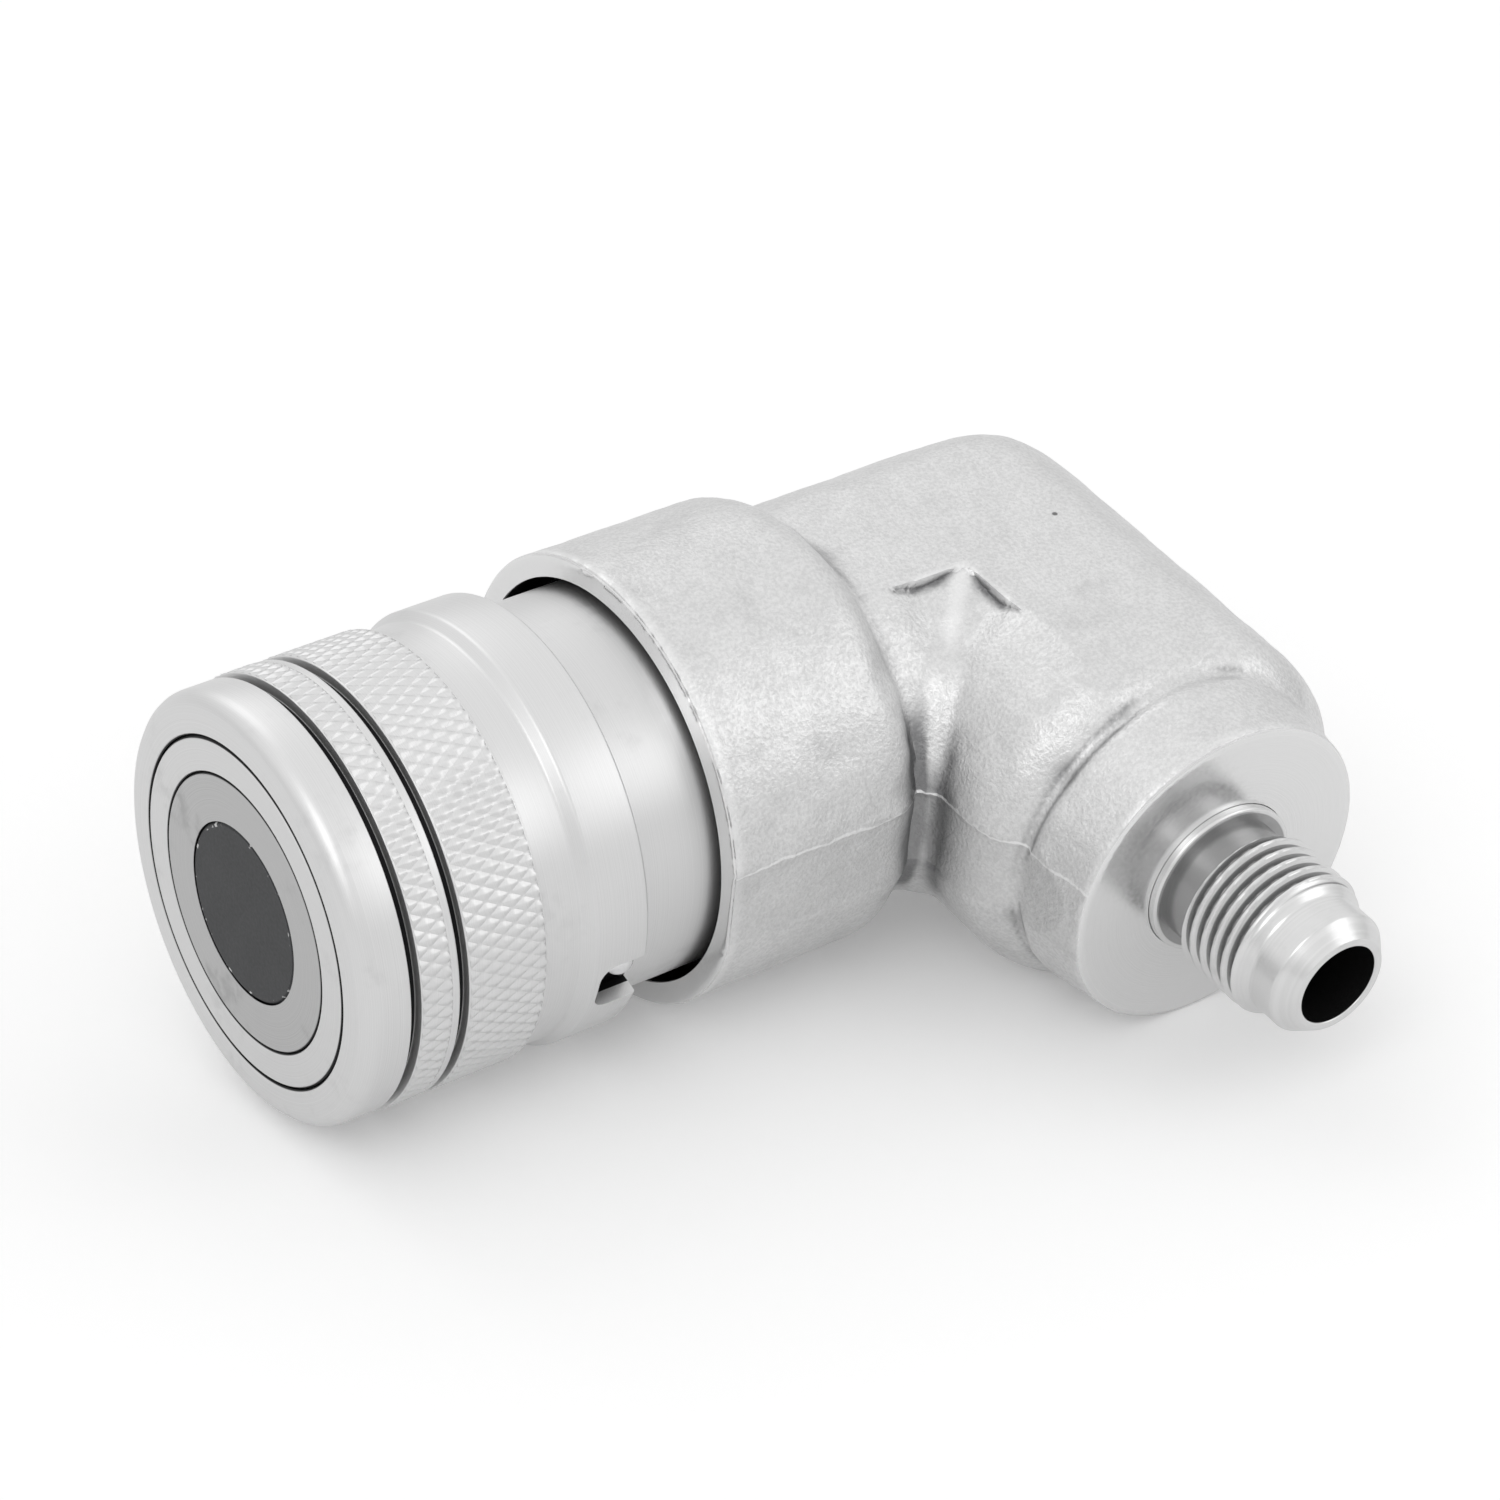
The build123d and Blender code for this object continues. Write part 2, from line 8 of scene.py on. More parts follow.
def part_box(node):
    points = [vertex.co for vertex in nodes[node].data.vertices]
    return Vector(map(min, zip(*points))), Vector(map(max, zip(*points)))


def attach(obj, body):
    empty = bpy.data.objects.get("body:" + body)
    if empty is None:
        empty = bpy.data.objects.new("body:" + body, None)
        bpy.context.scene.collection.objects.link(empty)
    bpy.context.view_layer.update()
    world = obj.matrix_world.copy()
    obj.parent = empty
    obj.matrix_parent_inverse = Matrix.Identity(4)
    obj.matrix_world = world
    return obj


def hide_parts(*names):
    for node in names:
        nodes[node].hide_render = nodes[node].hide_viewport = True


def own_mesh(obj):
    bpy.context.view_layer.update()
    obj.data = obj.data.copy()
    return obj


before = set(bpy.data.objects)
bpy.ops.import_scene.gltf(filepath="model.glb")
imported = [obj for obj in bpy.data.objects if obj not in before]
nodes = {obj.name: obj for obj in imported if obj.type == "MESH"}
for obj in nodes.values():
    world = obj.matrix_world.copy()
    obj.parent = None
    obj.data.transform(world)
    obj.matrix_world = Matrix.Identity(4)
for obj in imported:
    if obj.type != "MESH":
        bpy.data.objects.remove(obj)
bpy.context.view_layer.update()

mm = 0.001

# Where the elbow's two axes cross, and the way its port points. The port dips because
# the part lies on its collar and on the lower edge of its flange.
layout = {
    "crossing": 76.3,  # along the coupler axis
    "collarRadius": 20.9,
    "flangeFace": 37.3,  # from the crossing
    "flangeRadius": 15.2,
}
dip = math.asin(layout["collarRadius"] / math.hypot(layout["flangeFace"], layout["flangeRadius"]))
dip -= math.atan2(layout["flangeRadius"], layout["flangeFace"])
crossing = Vector((layout["crossing"], 0, 0))
backWay = Vector((0, math.cos(dip), math.sin(dip)))  # away from the port's mouth
upWay = Vector((0, -math.sin(dip), math.cos(dip)))  # square to the elbow's flat top
couplerPlace = Matrix.Identity(4)
portPlace = Matrix((
    (0, 1, 0, crossing.x),
    (-backWay.y, 0, upWay.y, 0),
    (-backWay.z, 0, upWay.z, 0),
    (0, 0, 0, 1),
))


# Meshes

def addObject(name, data):
    thing = bpy.data.objects.new(name, data)
    bpy.context.scene.collection.objects.link(thing)
    return thing


def sharpen(mesh, angle):
    mesh.set_sharp_from_angle(angle=math.radians(angle))


def faceOutwards(mesh):
    edit = bmesh.new()
    edit.from_mesh(mesh)
    bmesh.ops.recalc_face_normals(edit, faces=edit.faces)
    edit.to_mesh(mesh)
    edit.free()


def addPiece(name, points, faces, body, material, creaseAngle):
    mesh = bpy.data.meshes.new(name)
    mesh.from_pydata([tuple(p) for p in np.asarray(points) * mm], [], faces)
    mesh.validate()
    mesh.update()
    mesh.shade_smooth()
    sharpen(mesh, creaseAngle)
    mesh.materials.append(material)
    piece = addObject(name, mesh)
    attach(piece, body)
    return piece


# A closed outline with its corners rounded, in so many steps and over at most this share of a
# side. Each point is (along, radius, rounding).
def softCorners(points, steps=5, most=0.48):
    outline = []
    for i, (along, radius, bend) in enumerate(points):
        here = Vector((along, radius))
        before = Vector(points[i - 1][:2]) - here
        after = Vector(points[(i + 1) % len(points)][:2]) - here
        if bend <= 0 or before.length == 0 or after.length == 0:
            outline.append(tuple(here))
            continue
        half = before.angle(after) / 2
        reach = min(bend / math.tan(half), most * before.length, most * after.length)
        bend = reach * math.tan(half)
        before, after = before.normalized(), after.normalized()
        start, end = here + before * reach, here + after * reach
        middle = here + (before + after).normalized() * bend / math.sin(half)
        for step in range(steps + 1):
            spoke = (start - middle).lerp(end - middle, step / steps).normalized() * bend
            outline.append(tuple(middle + spoke))
    return outline


# Adds points to a closed outline so that no step between low and high is longer than longest
def divide(outline, longest, low, high):
    out = []
    for i, start in enumerate(outline):
        end = outline[(i + 1) % len(outline)]
        span = math.dist(start, end)
        inside = low <= min(start[0], end[0]) and max(start[0], end[0]) <= high
        count = max(1, math.ceil(span / longest)) if inside else 1
        for step in range(count):
            out.append(tuple(Vector(start).lerp(Vector(end), step / count)))
    return out


# A point round the coupler's axis, its angle counted from the top towards the port
def ringPoint(along, radius, angle):
    return along, -radius * math.sin(angle), radius * math.cos(angle)


# Points and faces of a closed outline turned round the first axis of place
def turn(outline, columns, place, shape=None):
    along, radius = (side[:, None] * np.ones(columns) for side in np.array(outline).T)
    angle = np.ones(len(outline))[:, None] * (np.arange(columns) * 2 * math.pi / columns)
    if shape:
        along, radius = shape(along, radius, angle)
    grid = np.stack([along, -radius * np.sin(angle), radius * np.cos(angle)], axis=-1).reshape(-1, 3)
    points = grid @ np.array(place.to_3x3()).T + np.array(place.translation)
    rows, faces = len(outline), []
    for row in range(rows):
        low, high = row * columns, ((row + 1) % rows) * columns
        for column in range(columns):
            beside = (column + 1) % columns
            faces.append((low + column, high + column, high + beside, low + beside))
    return points, faces


# Camera

camera = {
    "eye": (-188.5, -346.0, 253.7),
    "right": (0.8167, -0.5769, -0.0108),
    "up": (0.3073, 0.4190, 0.8544),
    "lens": 132.2,
    "sensor": 36,
}


def addCamera():
    data = bpy.data.cameras.new("camera")
    data.lens = camera["lens"]
    data.sensor_width = camera["sensor"]
    data.clip_start = 0.02
    data.clip_end = 20
    right = Vector(camera["right"]).normalized()
    up = Vector(camera["up"])
    up = (up - right * up.dot(right)).normalized()
    back = right.cross(up)
    seat = Matrix((right, up, back)).transposed().to_4x4()
    seat.translation = Vector(camera["eye"]) * mm
    seen = addObject("camera", data)
    seen.matrix_world = seat
    bpy.context.scene.camera = seen


addCamera()
print("camera in place")

# Shader helpers

def shaderTree(material):
    material.use_nodes = True
    tree = material.node_tree
    tree.nodes.clear()
    return tree, tree.nodes.new("ShaderNodeOutputMaterial")


# Gives a socket a plain value, or a link from another socket
def feed(tree, socket, value):
    if isinstance(value, bpy.types.NodeSocket):
        tree.links.new(value, socket)
    else:
        socket.default_value = value


# A node with its settings, and with its inputs fed by label or number
def useNode(tree, kind, values, **settings):
    node = tree.nodes.new(kind)
    for label, setting in settings.items():
        setattr(node, label, setting)
    for label, value in values.items():
        feed(tree, node.inputs[label], value)
    return node


def useGroup(tree, group, **values):
    return useNode(tree, "ShaderNodeGroup", values, node_tree=group)


def useMath(tree, operation, *values):
    return useNode(tree, "ShaderNodeMath", dict(enumerate(values)), operation=operation).outputs[0]


def splitPlace(tree, vector):
    return useNode(tree, "ShaderNodeSeparateXYZ", {"Vector": vector}).outputs


def useNoise(tree, vector, scale, detail, roughness):
    values = {"Vector": vector, "Scale": scale, "Detail": detail, "Roughness": roughness}
    return useNode(tree, "ShaderNodeTexNoise", values).outputs["Fac"]


def useRange(tree, value, low, high, newLow=0.0, newHigh=1.0):
    values = {"Value": value, "From Min": low, "From Max": high, "To Min": newLow, "To Max": newHigh}
    node = useNode(tree, "ShaderNodeMapRange", values, interpolation_type="SMOOTHSTEP")
    return node.outputs["Result"]


# 1 between low and high
def useBand(tree, value, low, high, soft=0.04):
    rising = useRange(tree, value, low - soft, low + soft)
    falling = useRange(tree, value, high - soft, high + soft, 1.0, 0.0)
    return useMath(tree, "MULTIPLY", rising, falling)


def useBump(tree, height, strength, distance):
    values = {"Strength": strength, "Distance": distance, "Height": height}
    return useNode(tree, "ShaderNodeBump", values).outputs["Normal"]


# Two numbers added in shares
def blend(tree, first, second, share):
    parts = [useMath(tree, "MULTIPLY", *pair) for pair in ((first, share), (second, 1 - share))]
    return useMath(tree, "ADD", *parts)


def mixNumber(tree, share, first, second):
    values = {"Factor": share, "A": first, "B": second}
    return useNode(tree, "ShaderNodeMix", values).outputs["Result"]


def mixColour(tree, share, first, second):
    node = useNode(tree, "ShaderNodeMix", {"Factor": share}, data_type="RGBA")
    sockets = [s for s in node.inputs if s.type == "RGBA"]
    for socket, value in zip(sockets, (first, second)):
        feed(tree, socket, (*value, 1) if isinstance(value, tuple) else value)
    return [s for s in node.outputs if s.type == "RGBA"][0]


# Studio

studio = {
    "floorSize": 4.0,
    "floorColour": (0.86, 0.86, 0.86),
    "floorSeen": (1.0, 1.0, 1.0),  # its colour straight from the camera
    "floorMirrored": (0.78, 0.78, 0.78),  # and as metal mirrors it
    "floorRoughness": 0.9,
    "floorSheen": 0.1,
    "floorGlow": 0.12,
    "skyLight": 0.78,
    "skyLow": 0.6,  # what metal mirrors at the horizon
    "skyHigh": 0.9,  # and overhead
    "skySpan": (-0.1, 0.5),  # how far up that change goes
    "lamps": [
        # name, place, aim, size, power
        ("keyLamp", (-0.6, -0.5, 0.8), (0.04, 0, 0), 0.6, 1.3),
        ("fillLamp", (0.7, -0.7, 0.5), (0.05, 0, 0), 0.6, 0.8),
        ("backLamp", (0.1, 0.8, 0.8), (0.05, 0, 0), 0.7, 0.8),
    ],
}


# 1 where a ray comes straight from the camera or through glass, and 1 where metal mirrors
def seenDirectly(tree):
    path = tree.nodes.new("ShaderNodeLightPath")
    seen = useMath(tree, "MAXIMUM", path.outputs["Is Camera Ray"], path.outputs["Is Transmission Ray"])
    return seen, path.outputs["Is Glossy Ray"]


def addFloor():
    half = studio["floorSize"] / 2
    level = -layout["collarRadius"] * mm
    corners = ((-half, -half), (half, -half), (half, half), (-half, half))
    mesh = bpy.data.meshes.new("floor")
    mesh.from_pydata([(x, y, level) for x, y in corners], [], [(0, 1, 2, 3)])
    material = bpy.data.materials.new("paleFloor")
    tree, output = shaderTree(material)
    seen, glossy = seenDirectly(tree)
    colour = mixColour(tree, seen, studio["floorColour"], studio["floorSeen"])
    glow = useMath(tree, "MULTIPLY", useMath(tree, "MAXIMUM", seen, glossy), studio["floorGlow"])
    surface = useNode(tree, "ShaderNodeBsdfPrincipled", {
        "Base Color": mixColour(tree, glossy, colour, studio["floorMirrored"]),
        "Roughness": studio["floorRoughness"],
        "Specular IOR Level": studio["floorSheen"],
        "Emission Color": (1, 1, 1, 1),
        "Emission Strength": glow,
    })
    tree.links.new(surface.outputs[0], output.inputs["Surface"])
    mesh.materials.append(material)
    floor = addObject("floor", mesh)


def addSky():
    world = bpy.data.worlds.new("studio")
    bpy.context.scene.world = world
    world.use_nodes = True
    tree = world.node_tree
    tree.nodes.clear()
    output = tree.nodes.new("ShaderNodeOutputWorld")
    way = splitPlace(tree, tree.nodes.new("ShaderNodeTexCoord").outputs["Generated"])
    mirrored = useRange(tree, way["Z"], *studio["skySpan"], studio["skyLow"], studio["skyHigh"])
    seen, glossy = seenDirectly(tree)
    strength = mixNumber(tree, glossy, studio["skyLight"], mirrored)
    strength = mixNumber(tree, seen, strength, 1)
    light = useNode(tree, "ShaderNodeBackground", {"Color": (1, 1, 1, 1), "Strength": strength})
    tree.links.new(light.outputs[0], output.inputs["Surface"])


def addLamps():
    for name, place, aim, size, power in studio["lamps"]:
        data = bpy.data.lights.new(name, "AREA")
        data.size = size
        data.energy = power
        lamp = addObject(name, data)
        lamp.location = place
        way = Vector(aim) - Vector(place)
        lamp.rotation_euler = way.to_track_quat("-Z", "Y").to_euler()


addFloor()
addSky()
addLamps()
bpy.context.scene.view_settings.view_transform = "Standard"
print("studio lit")


# Shared effects, as shader node groups

# A group that takes a position and some numbers, and puts out numbers
def startGroup(name, numbers, outputs):
    group = bpy.data.node_groups.new(name, "ShaderNodeTree")
    group.interface.new_socket("Vector", in_out="INPUT", socket_type="NodeSocketVector")
    for label, value in numbers.items():
        socket = group.interface.new_socket(label, in_out="INPUT", socket_type="NodeSocketFloat")
        socket.default_value = value
    for label in outputs:
        group.interface.new_socket(label, in_out="OUTPUT", socket_type="NodeSocketFloat")
    return group, group.nodes.new("NodeGroupInput"), group.nodes.new("NodeGroupOutput")


# Place along the first axis, and distance from it
def axisParts(tree, vector):
    parts = splitPlace(tree, vector)
    squares = [useMath(tree, "MULTIPLY", parts[side], parts[side]) for side in "YZ"]
    return parts["X"], useMath(tree, "SQRT", useMath(tree, "ADD", *squares))


# Each noise is (scale, detail, roughness) or the last two, and each span (from, to)
effects = {
    "grain": 2200.0,
    "patches": 160.0,
    "grainNoise": (2.0, 0.6),
    "patchNoise": (3.0, 0.55),
    "grainSpan": (0.3, 0.7),
    "grainInHeight": 0.8,
    "grainInTone": 0.75,
    "ringPitch": 9000.0,
    "ringNoise": (3.0, 0.7),
    "ringSpan": (0.3, 0.7),
    "smudge": 90.0,
    "smudgeNoise": (5.0, 0.65),
    "smudgeSpan": (0.52, 0.72),
    "smudgeAmount": 0.5,
    "rubNoise": (700.0, 2.0, 0.5),
    "rubSpan": (0.35, 0.65),
}


# Matt grain of a shot blasted and plated surface: Height for the bump, Tone for the colour
def makeBlastGrain():
    e = effects
    numbers = {"Grain": e["grain"], "Patches": e["patches"]}
    group, given, made = startGroup("blastGrain", numbers, ["Height", "Tone"])
    fine = useNoise(group, given.outputs["Vector"], given.outputs["Grain"], *e["grainNoise"])
    broad = useNoise(group, given.outputs["Vector"], given.outputs["Patches"], *e["patchNoise"])
    group.links.new(blend(group, fine, broad, e["grainInHeight"]), made.inputs["Height"])
    speck, patch = (useRange(group, noise, *e["grainSpan"]) for noise in (fine, broad))
    group.links.new(blend(group, speck, patch, e["grainInTone"]), made.inputs["Tone"])
    return group


# Fine rings that a turning tool leaves round the first axis, on flanks and on faces
def makeTurnedRings():
    e = effects
    group, given, made = startGroup("turnedRings", {"Pitch": e["ringPitch"]}, ["Height", "Tone"])
    path = useMath(group, "ADD", *axisParts(group, given.outputs["Vector"]))
    joined = useNode(group, "ShaderNodeCombineXYZ", {"X": path})
    lines = useNoise(group, joined.outputs[0], given.outputs["Pitch"], *e["ringNoise"])
    group.links.new(lines, made.inputs["Height"])
    group.links.new(useRange(group, lines, *e["ringSpan"]), made.inputs["Tone"])
    return group


# Rubbed and smudged places from handling
def makeHandling():
    e = effects
    numbers = {"Size": e["smudge"], "Amount": e["smudgeAmount"]}
    group, given, made = startGroup("handling", numbers, ["Mask"])
    cloud = useNoise(group, given.outputs["Vector"], given.outputs["Size"], *e["smudgeNoise"])
    cloud = useRange(group, cloud, *e["smudgeSpan"])
    fine = useRange(group, useNoise(group, given.outputs["Vector"], *e["rubNoise"]), *e["rubSpan"])
    mask = useMath(group, "MULTIPLY", cloud, fine)
    group.links.new(useMath(group, "MULTIPLY", mask, given.outputs["Amount"]), made.inputs["Mask"])
    return group


# Place along an axis and distance from it, in millimetres
def makeAxisPlace():
    group, given, made = startGroup("axisPlace", {}, ["Along", "Radius"])
    for label, length in zip(("Along", "Radius"), axisParts(group, given.outputs["Vector"])):
        group.links.new(useMath(group, "MULTIPLY", length, 1 / mm), made.inputs[label])
    return group


blastGrain = makeBlastGrain()
turnedRings = makeTurnedRings()
handling = makeHandling()
axisPlace = makeAxisPlace()


def startSurface(name, metallic):
    material = bpy.data.materials.new(name)
    tree, output = shaderTree(material)
    surface = useNode(tree, "ShaderNodeBsdfPrincipled", {"Metallic": metallic})
    tree.links.new(surface.outputs[0], output.inputs["Surface"])
    place = tree.nodes.new("ShaderNodeTexCoord").outputs["Object"]
    return material, tree, surface, place


def finishSurface(tree, surface, colour, roughness, normal):
    for label, value in (("Base Color", colour), ("Roughness", roughness), ("Normal", normal)):
        feed(tree, surface.inputs[label], value)


# Position turned so that its X runs along the port's axis, with its zero at the crossing
def portPosition(tree, place):
    lie = portPlace.to_3x3().to_euler()
    values = {"Vector": place, "Location": crossing * mm, "Rotation": lie}
    return useNode(tree, "ShaderNodeMapping", values, vector_type="TEXTURE").outputs[0]


# A length in millimetres that noise makes uneven
def unevenLength(tree, length, noise, amount):
    length = useMath(tree, "MULTIPLY", length, 1 / mm)
    return useMath(tree, "ADD", length, useMath(tree, "MULTIPLY", noise, amount))


# 1 in the named zones round an axis. Each zone is (from, to, inner radius, outer radius, share).
def useZones(tree, place, zones):
    seat = useGroup(tree, axisPlace, Vector=place)
    mask = None
    for low, high, inner, outer, share in zones:
        within = useBand(tree, seat.outputs["Along"], low, high)
        around = useBand(tree, seat.outputs["Radius"], inner, outer)
        zone = useMath(tree, "MULTIPLY", useMath(tree, "MULTIPLY", within, around), share)
        mask = useMath(tree, "MAXIMUM", mask, zone) if mask else zone
    return mask


# Materials

paintedShadeBlack = (0.012, 0.012, 0.013)  # painted shade: near black in gaps, grooves, bores and pits

forged = {
    "pale": (0.83, 0.83, 0.83),
    "dull": (0.68, 0.68, 0.68),
    "rubbed": (0.55, 0.55, 0.55),
    "rubbedShare": 0.35,
    # painted shade in the creases, and painted highlight on ridges: attribute, from, to, share, colour
    "forms": [
        ("hollow", 0.05, 0.34, 0.85, (0.16, 0.16, 0.165)),
        ("proud", 0.16, 0.6, 0.7, (0.95, 0.95, 0.95)),
    ],
    # painted shade of the band round the seam, and its share
    "trimmed": (0.6, 0.6, 0.6),
    "trimmedShare": 0.25,
    "seam": (0.97, 0.97, 0.97),
    "seamShare": 0.85,
    "machined": (0.8, 0.8, 0.8),
    "bright": (0.9, 0.9, 0.9),
    "flangeCut": (37.05, 37.2),  # where the machined faces begin
    "collarCut": (36.4, 36.55),
    "metallic": 0.8,
    "roughness": (0.46, 0.36),
    "machinedGloss": 0.2,
    "grainScale": 2800.0,
    "patchScale": 300.0,
    "grain": 0.9,
    "grainDepth": 0.00012,
    "seamHeight": 3.75,
    "seamSpan": (0.4, 0.66),  # above that height, as the wandering adds to it
    "seamSoft": 0.06,
    "trimSoft": 0.1,
    "wander": (420.0, 3.0, 0.6),
    "seamWander": 1.1,
    # painted shade inside the collar's bore
    "darkZones": [(36.5, 54.0, 0, 18.95, 1.0)],
    # small pits on the flat top and the shoulder: place in the port's own frame, and radius
    "pits": [
        ((5.35, 4.2, 17), 0.3),
        ((25.9, 2.7, 17), 0.3),
        ((26.1, 3.4, 17), 0.25),
        ((27.4, 5.3, 16.8), 0.3),
        ((27.3, 6.1, 16.8), 0.22),
    ],
    "pitWander": 0.25,
    "pitEdge": 0.15,
    "pitShare": 0.75,
}


def makeForged():
    f = forged
    material, tree, surface, place = startSurface("forgedPlate", f["metallic"])
    portPlaced = portPosition(tree, place)
    grain = useGroup(tree, blastGrain, Vector=place, Grain=f["grainScale"], Patches=f["patchScale"])
    rubbed = useGroup(tree, handling, Vector=place, Amount=f["rubbedShare"])
    colour = mixColour(tree, grain.outputs["Tone"], f["dull"], f["pale"])
    colour = mixColour(tree, rubbed.outputs["Mask"], colour, f["rubbed"])
    # painted shade in the creases and painted highlight on the ridges, from the mesh's hollow and
    # proud shares
    for label, low, high, share, tone in f["forms"]:
        form = useNode(tree, "ShaderNodeAttribute", {}, attribute_name=label)
        mask = useRange(tree, form.outputs["Fac"], low, high, 0.0, share)
        colour = mixColour(tree, mask, colour, tone)
    # painted shade on the trimmed band, and the bright torn line where its flash was cut
    wander = useNoise(tree, place, *f["wander"])
    height = unevenLength(tree, splitPlace(tree, portPlaced)["Z"], wander, f["seamWander"])
    seamLow, seamHigh = (f["seamHeight"] + edge for edge in f["seamSpan"])
    seam = useBand(tree, height, seamLow, seamHigh, f["seamSoft"])
    band = useBand(tree, height, f["seamSpan"][0] - f["seamHeight"], seamLow, f["trimSoft"])
    colour = mixColour(tree, useMath(tree, "MULTIPLY", band, f["trimmedShare"]), colour, f["trimmed"])
    colour = mixColour(tree, useMath(tree, "MULTIPLY", seam, f["seamShare"]), colour, f["seam"])
    # small pits painted near black, as painted shade
    pits = None
    for spot, size in f["pits"]:
        ends = {0: portPlaced, 1: Vector(spot) * mm}
        span = useNode(tree, "ShaderNodeVectorMath", ends, operation="DISTANCE")
        worn = unevenLength(tree, span.outputs["Value"], wander, f["pitWander"])
        pit = useRange(tree, worn, size, size + f["pitEdge"], 1.0, 0.0)
        pits = useMath(tree, "MAXIMUM", pits, pit) if pits else pit
    colour = mixColour(tree, useMath(tree, "MULTIPLY", pits, f["pitShare"]), colour, paintedShadeBlack)
    # machined end of the port and front of the collar
    port = useGroup(tree, axisPlace, Vector=portPlaced)
    coupler = useGroup(tree, axisPlace, Vector=place)
    flange = useRange(tree, port.outputs["Along"], *f["flangeCut"])
    collar = useRange(tree, coupler.outputs["Along"], *f["collarCut"], 1.0, 0.0)
    machined = useMath(tree, "MAXIMUM", flange, collar)
    rings = useGroup(tree, turnedRings, Vector=portPlaced)
    smoothColour = mixColour(tree, rings.outputs["Tone"], f["machined"], f["bright"])
    colour = mixColour(tree, machined, colour, smoothColour)
    # painted shade inside the collar's bore
    colour = mixColour(tree, useZones(tree, place, f["darkZones"]), colour, paintedShadeBlack)
    rough = useRange(tree, grain.outputs["Tone"], 0.0, 1.0, *f["roughness"])
    rough = useMath(tree, "ADD", rough, useMath(tree, "MULTIPLY", machined, -f["machinedGloss"]))
    cast = useMath(tree, "SUBTRACT", 1.0, machined)
    relief = useMath(tree, "MULTIPLY", grain.outputs["Height"], cast)
    finishSurface(tree, surface, colour, rough, useBump(tree, relief, f["grain"], f["grainDepth"]))
    return material


turned = {
    "pale": (0.82, 0.82, 0.82),
    "dull": (0.74, 0.74, 0.74),
    "rubbed": (0.45, 0.45, 0.45),
    "wear": 0.3,
    "smudgeScale": 120.0,
    "metallic": 0.9,
    "roughness": 0.4,
    "lines": 0.12,
    "lineDepth": 0.00002,
}
# Zones of painted shade in the gaps, grooves and bores of each turned finish, in useZones' terms
paintedShadeZones = {
    "sleevePlate": [
        (4.5, 5.36, 0, 19.3, 1.0),  # front groove
        (9.2, 10.06, 0, 19.3, 1.0),  # rear groove
        (0.08, 2.6, 0, 16.2, 1.0),  # bore at the mating face
        (2.6, 30, 0, 18.6, 1.0),  # inside behind it
        (17.86, 18.0, 18.9, 19.62, 0.8),  # foot of the knurl's step
    ],
    "shankSteel": [
        (0.04, 28.3, 15.62, 30, 1.0),  # flank under the sleeve
        (0.04, 0.9, 0, 12.78, 1.0),  # gap round the valve sleeve
        (0.9, 60, 0, 15.5, 0.6),  # inside
    ],
    "ringSteel": [
        (0.04, 60, 12.42, 30, 1.0),  # flank
        (0.04, 60, 0, 8.4, 1.0),  # bore round the stem
    ],
    "portSteel": [
        (0, 53.95, 0, 4.3, 0.93),  # bore
        (38.02, 41.2, 0, 7.0, 0.5),  # neck
        (41.0, 48.6, 5.0, 6.75, 0.6),  # foot of the thread
    ],
}


def makeTurned(name, onPort=False, **changes):
    t = {**turned, **changes}
    material, tree, surface, place = startSurface(name, t["metallic"])
    along = portPosition(tree, place) if onPort else place
    rings = useGroup(tree, turnedRings, Vector=along)
    rubbed = useGroup(tree, handling, Vector=place, Size=t["smudgeScale"], Amount=t["wear"])
    colour = mixColour(tree, rings.outputs["Tone"], t["dull"], t["pale"])
    colour = mixColour(tree, rubbed.outputs["Mask"], colour, t["rubbed"])
    # painted shade in this finish's gaps, grooves and bores
    colour = mixColour(tree, useZones(tree, along, paintedShadeZones[name]), colour, paintedShadeBlack)
    normal = useBump(tree, rings.outputs["Height"], t["lines"], t["lineDepth"])
    finishSurface(tree, surface, colour, t["roughness"], normal)
    return material


# Evenly grained finishes. The stem is near black, with bright chips along its rim.
grained = {"grainScale": 2500.0, "patchScale": 400.0, "grain": 0.15, "grainDepth": 0.00003}
nearBlackStem = {
    "grainScale": 3000.0,
    "patchScale": 300.0,
    "grain": 0.2,
    "chip": (0.6, 0.6, 0.6),
    "chipZones": [(-1.0, 0.4, 7.75, 8.15, 1.0), (0.02, 8.0, 8.12, 9.0, 0.3)],  # rim, and flank
    "chipNoise": (900.0, 2.0, 0.6),
    "chipSpan": (0.58, 0.64),
}


def makeGrained(name, dark, light, roughness, metallic=0.0, **changes):
    g = {**grained, **changes}
    material, tree, surface, place = startSurface(name, metallic)
    grain = useGroup(tree, blastGrain, Vector=place, Grain=g["grainScale"], Patches=g["patchScale"])
    colour = mixColour(tree, grain.outputs["Tone"], dark, light)
    if "chip" in g:
        rim = useZones(tree, place, g["chipZones"])
        chips = useRange(tree, useNoise(tree, place, *g["chipNoise"]), *g["chipSpan"])
        colour = mixColour(tree, useMath(tree, "MULTIPLY", rim, chips), colour, g["chip"])
    normal = useBump(tree, grain.outputs["Height"], g["grain"], g["grainDepth"])
    finishSurface(tree, surface, colour, roughness, normal)
    return material


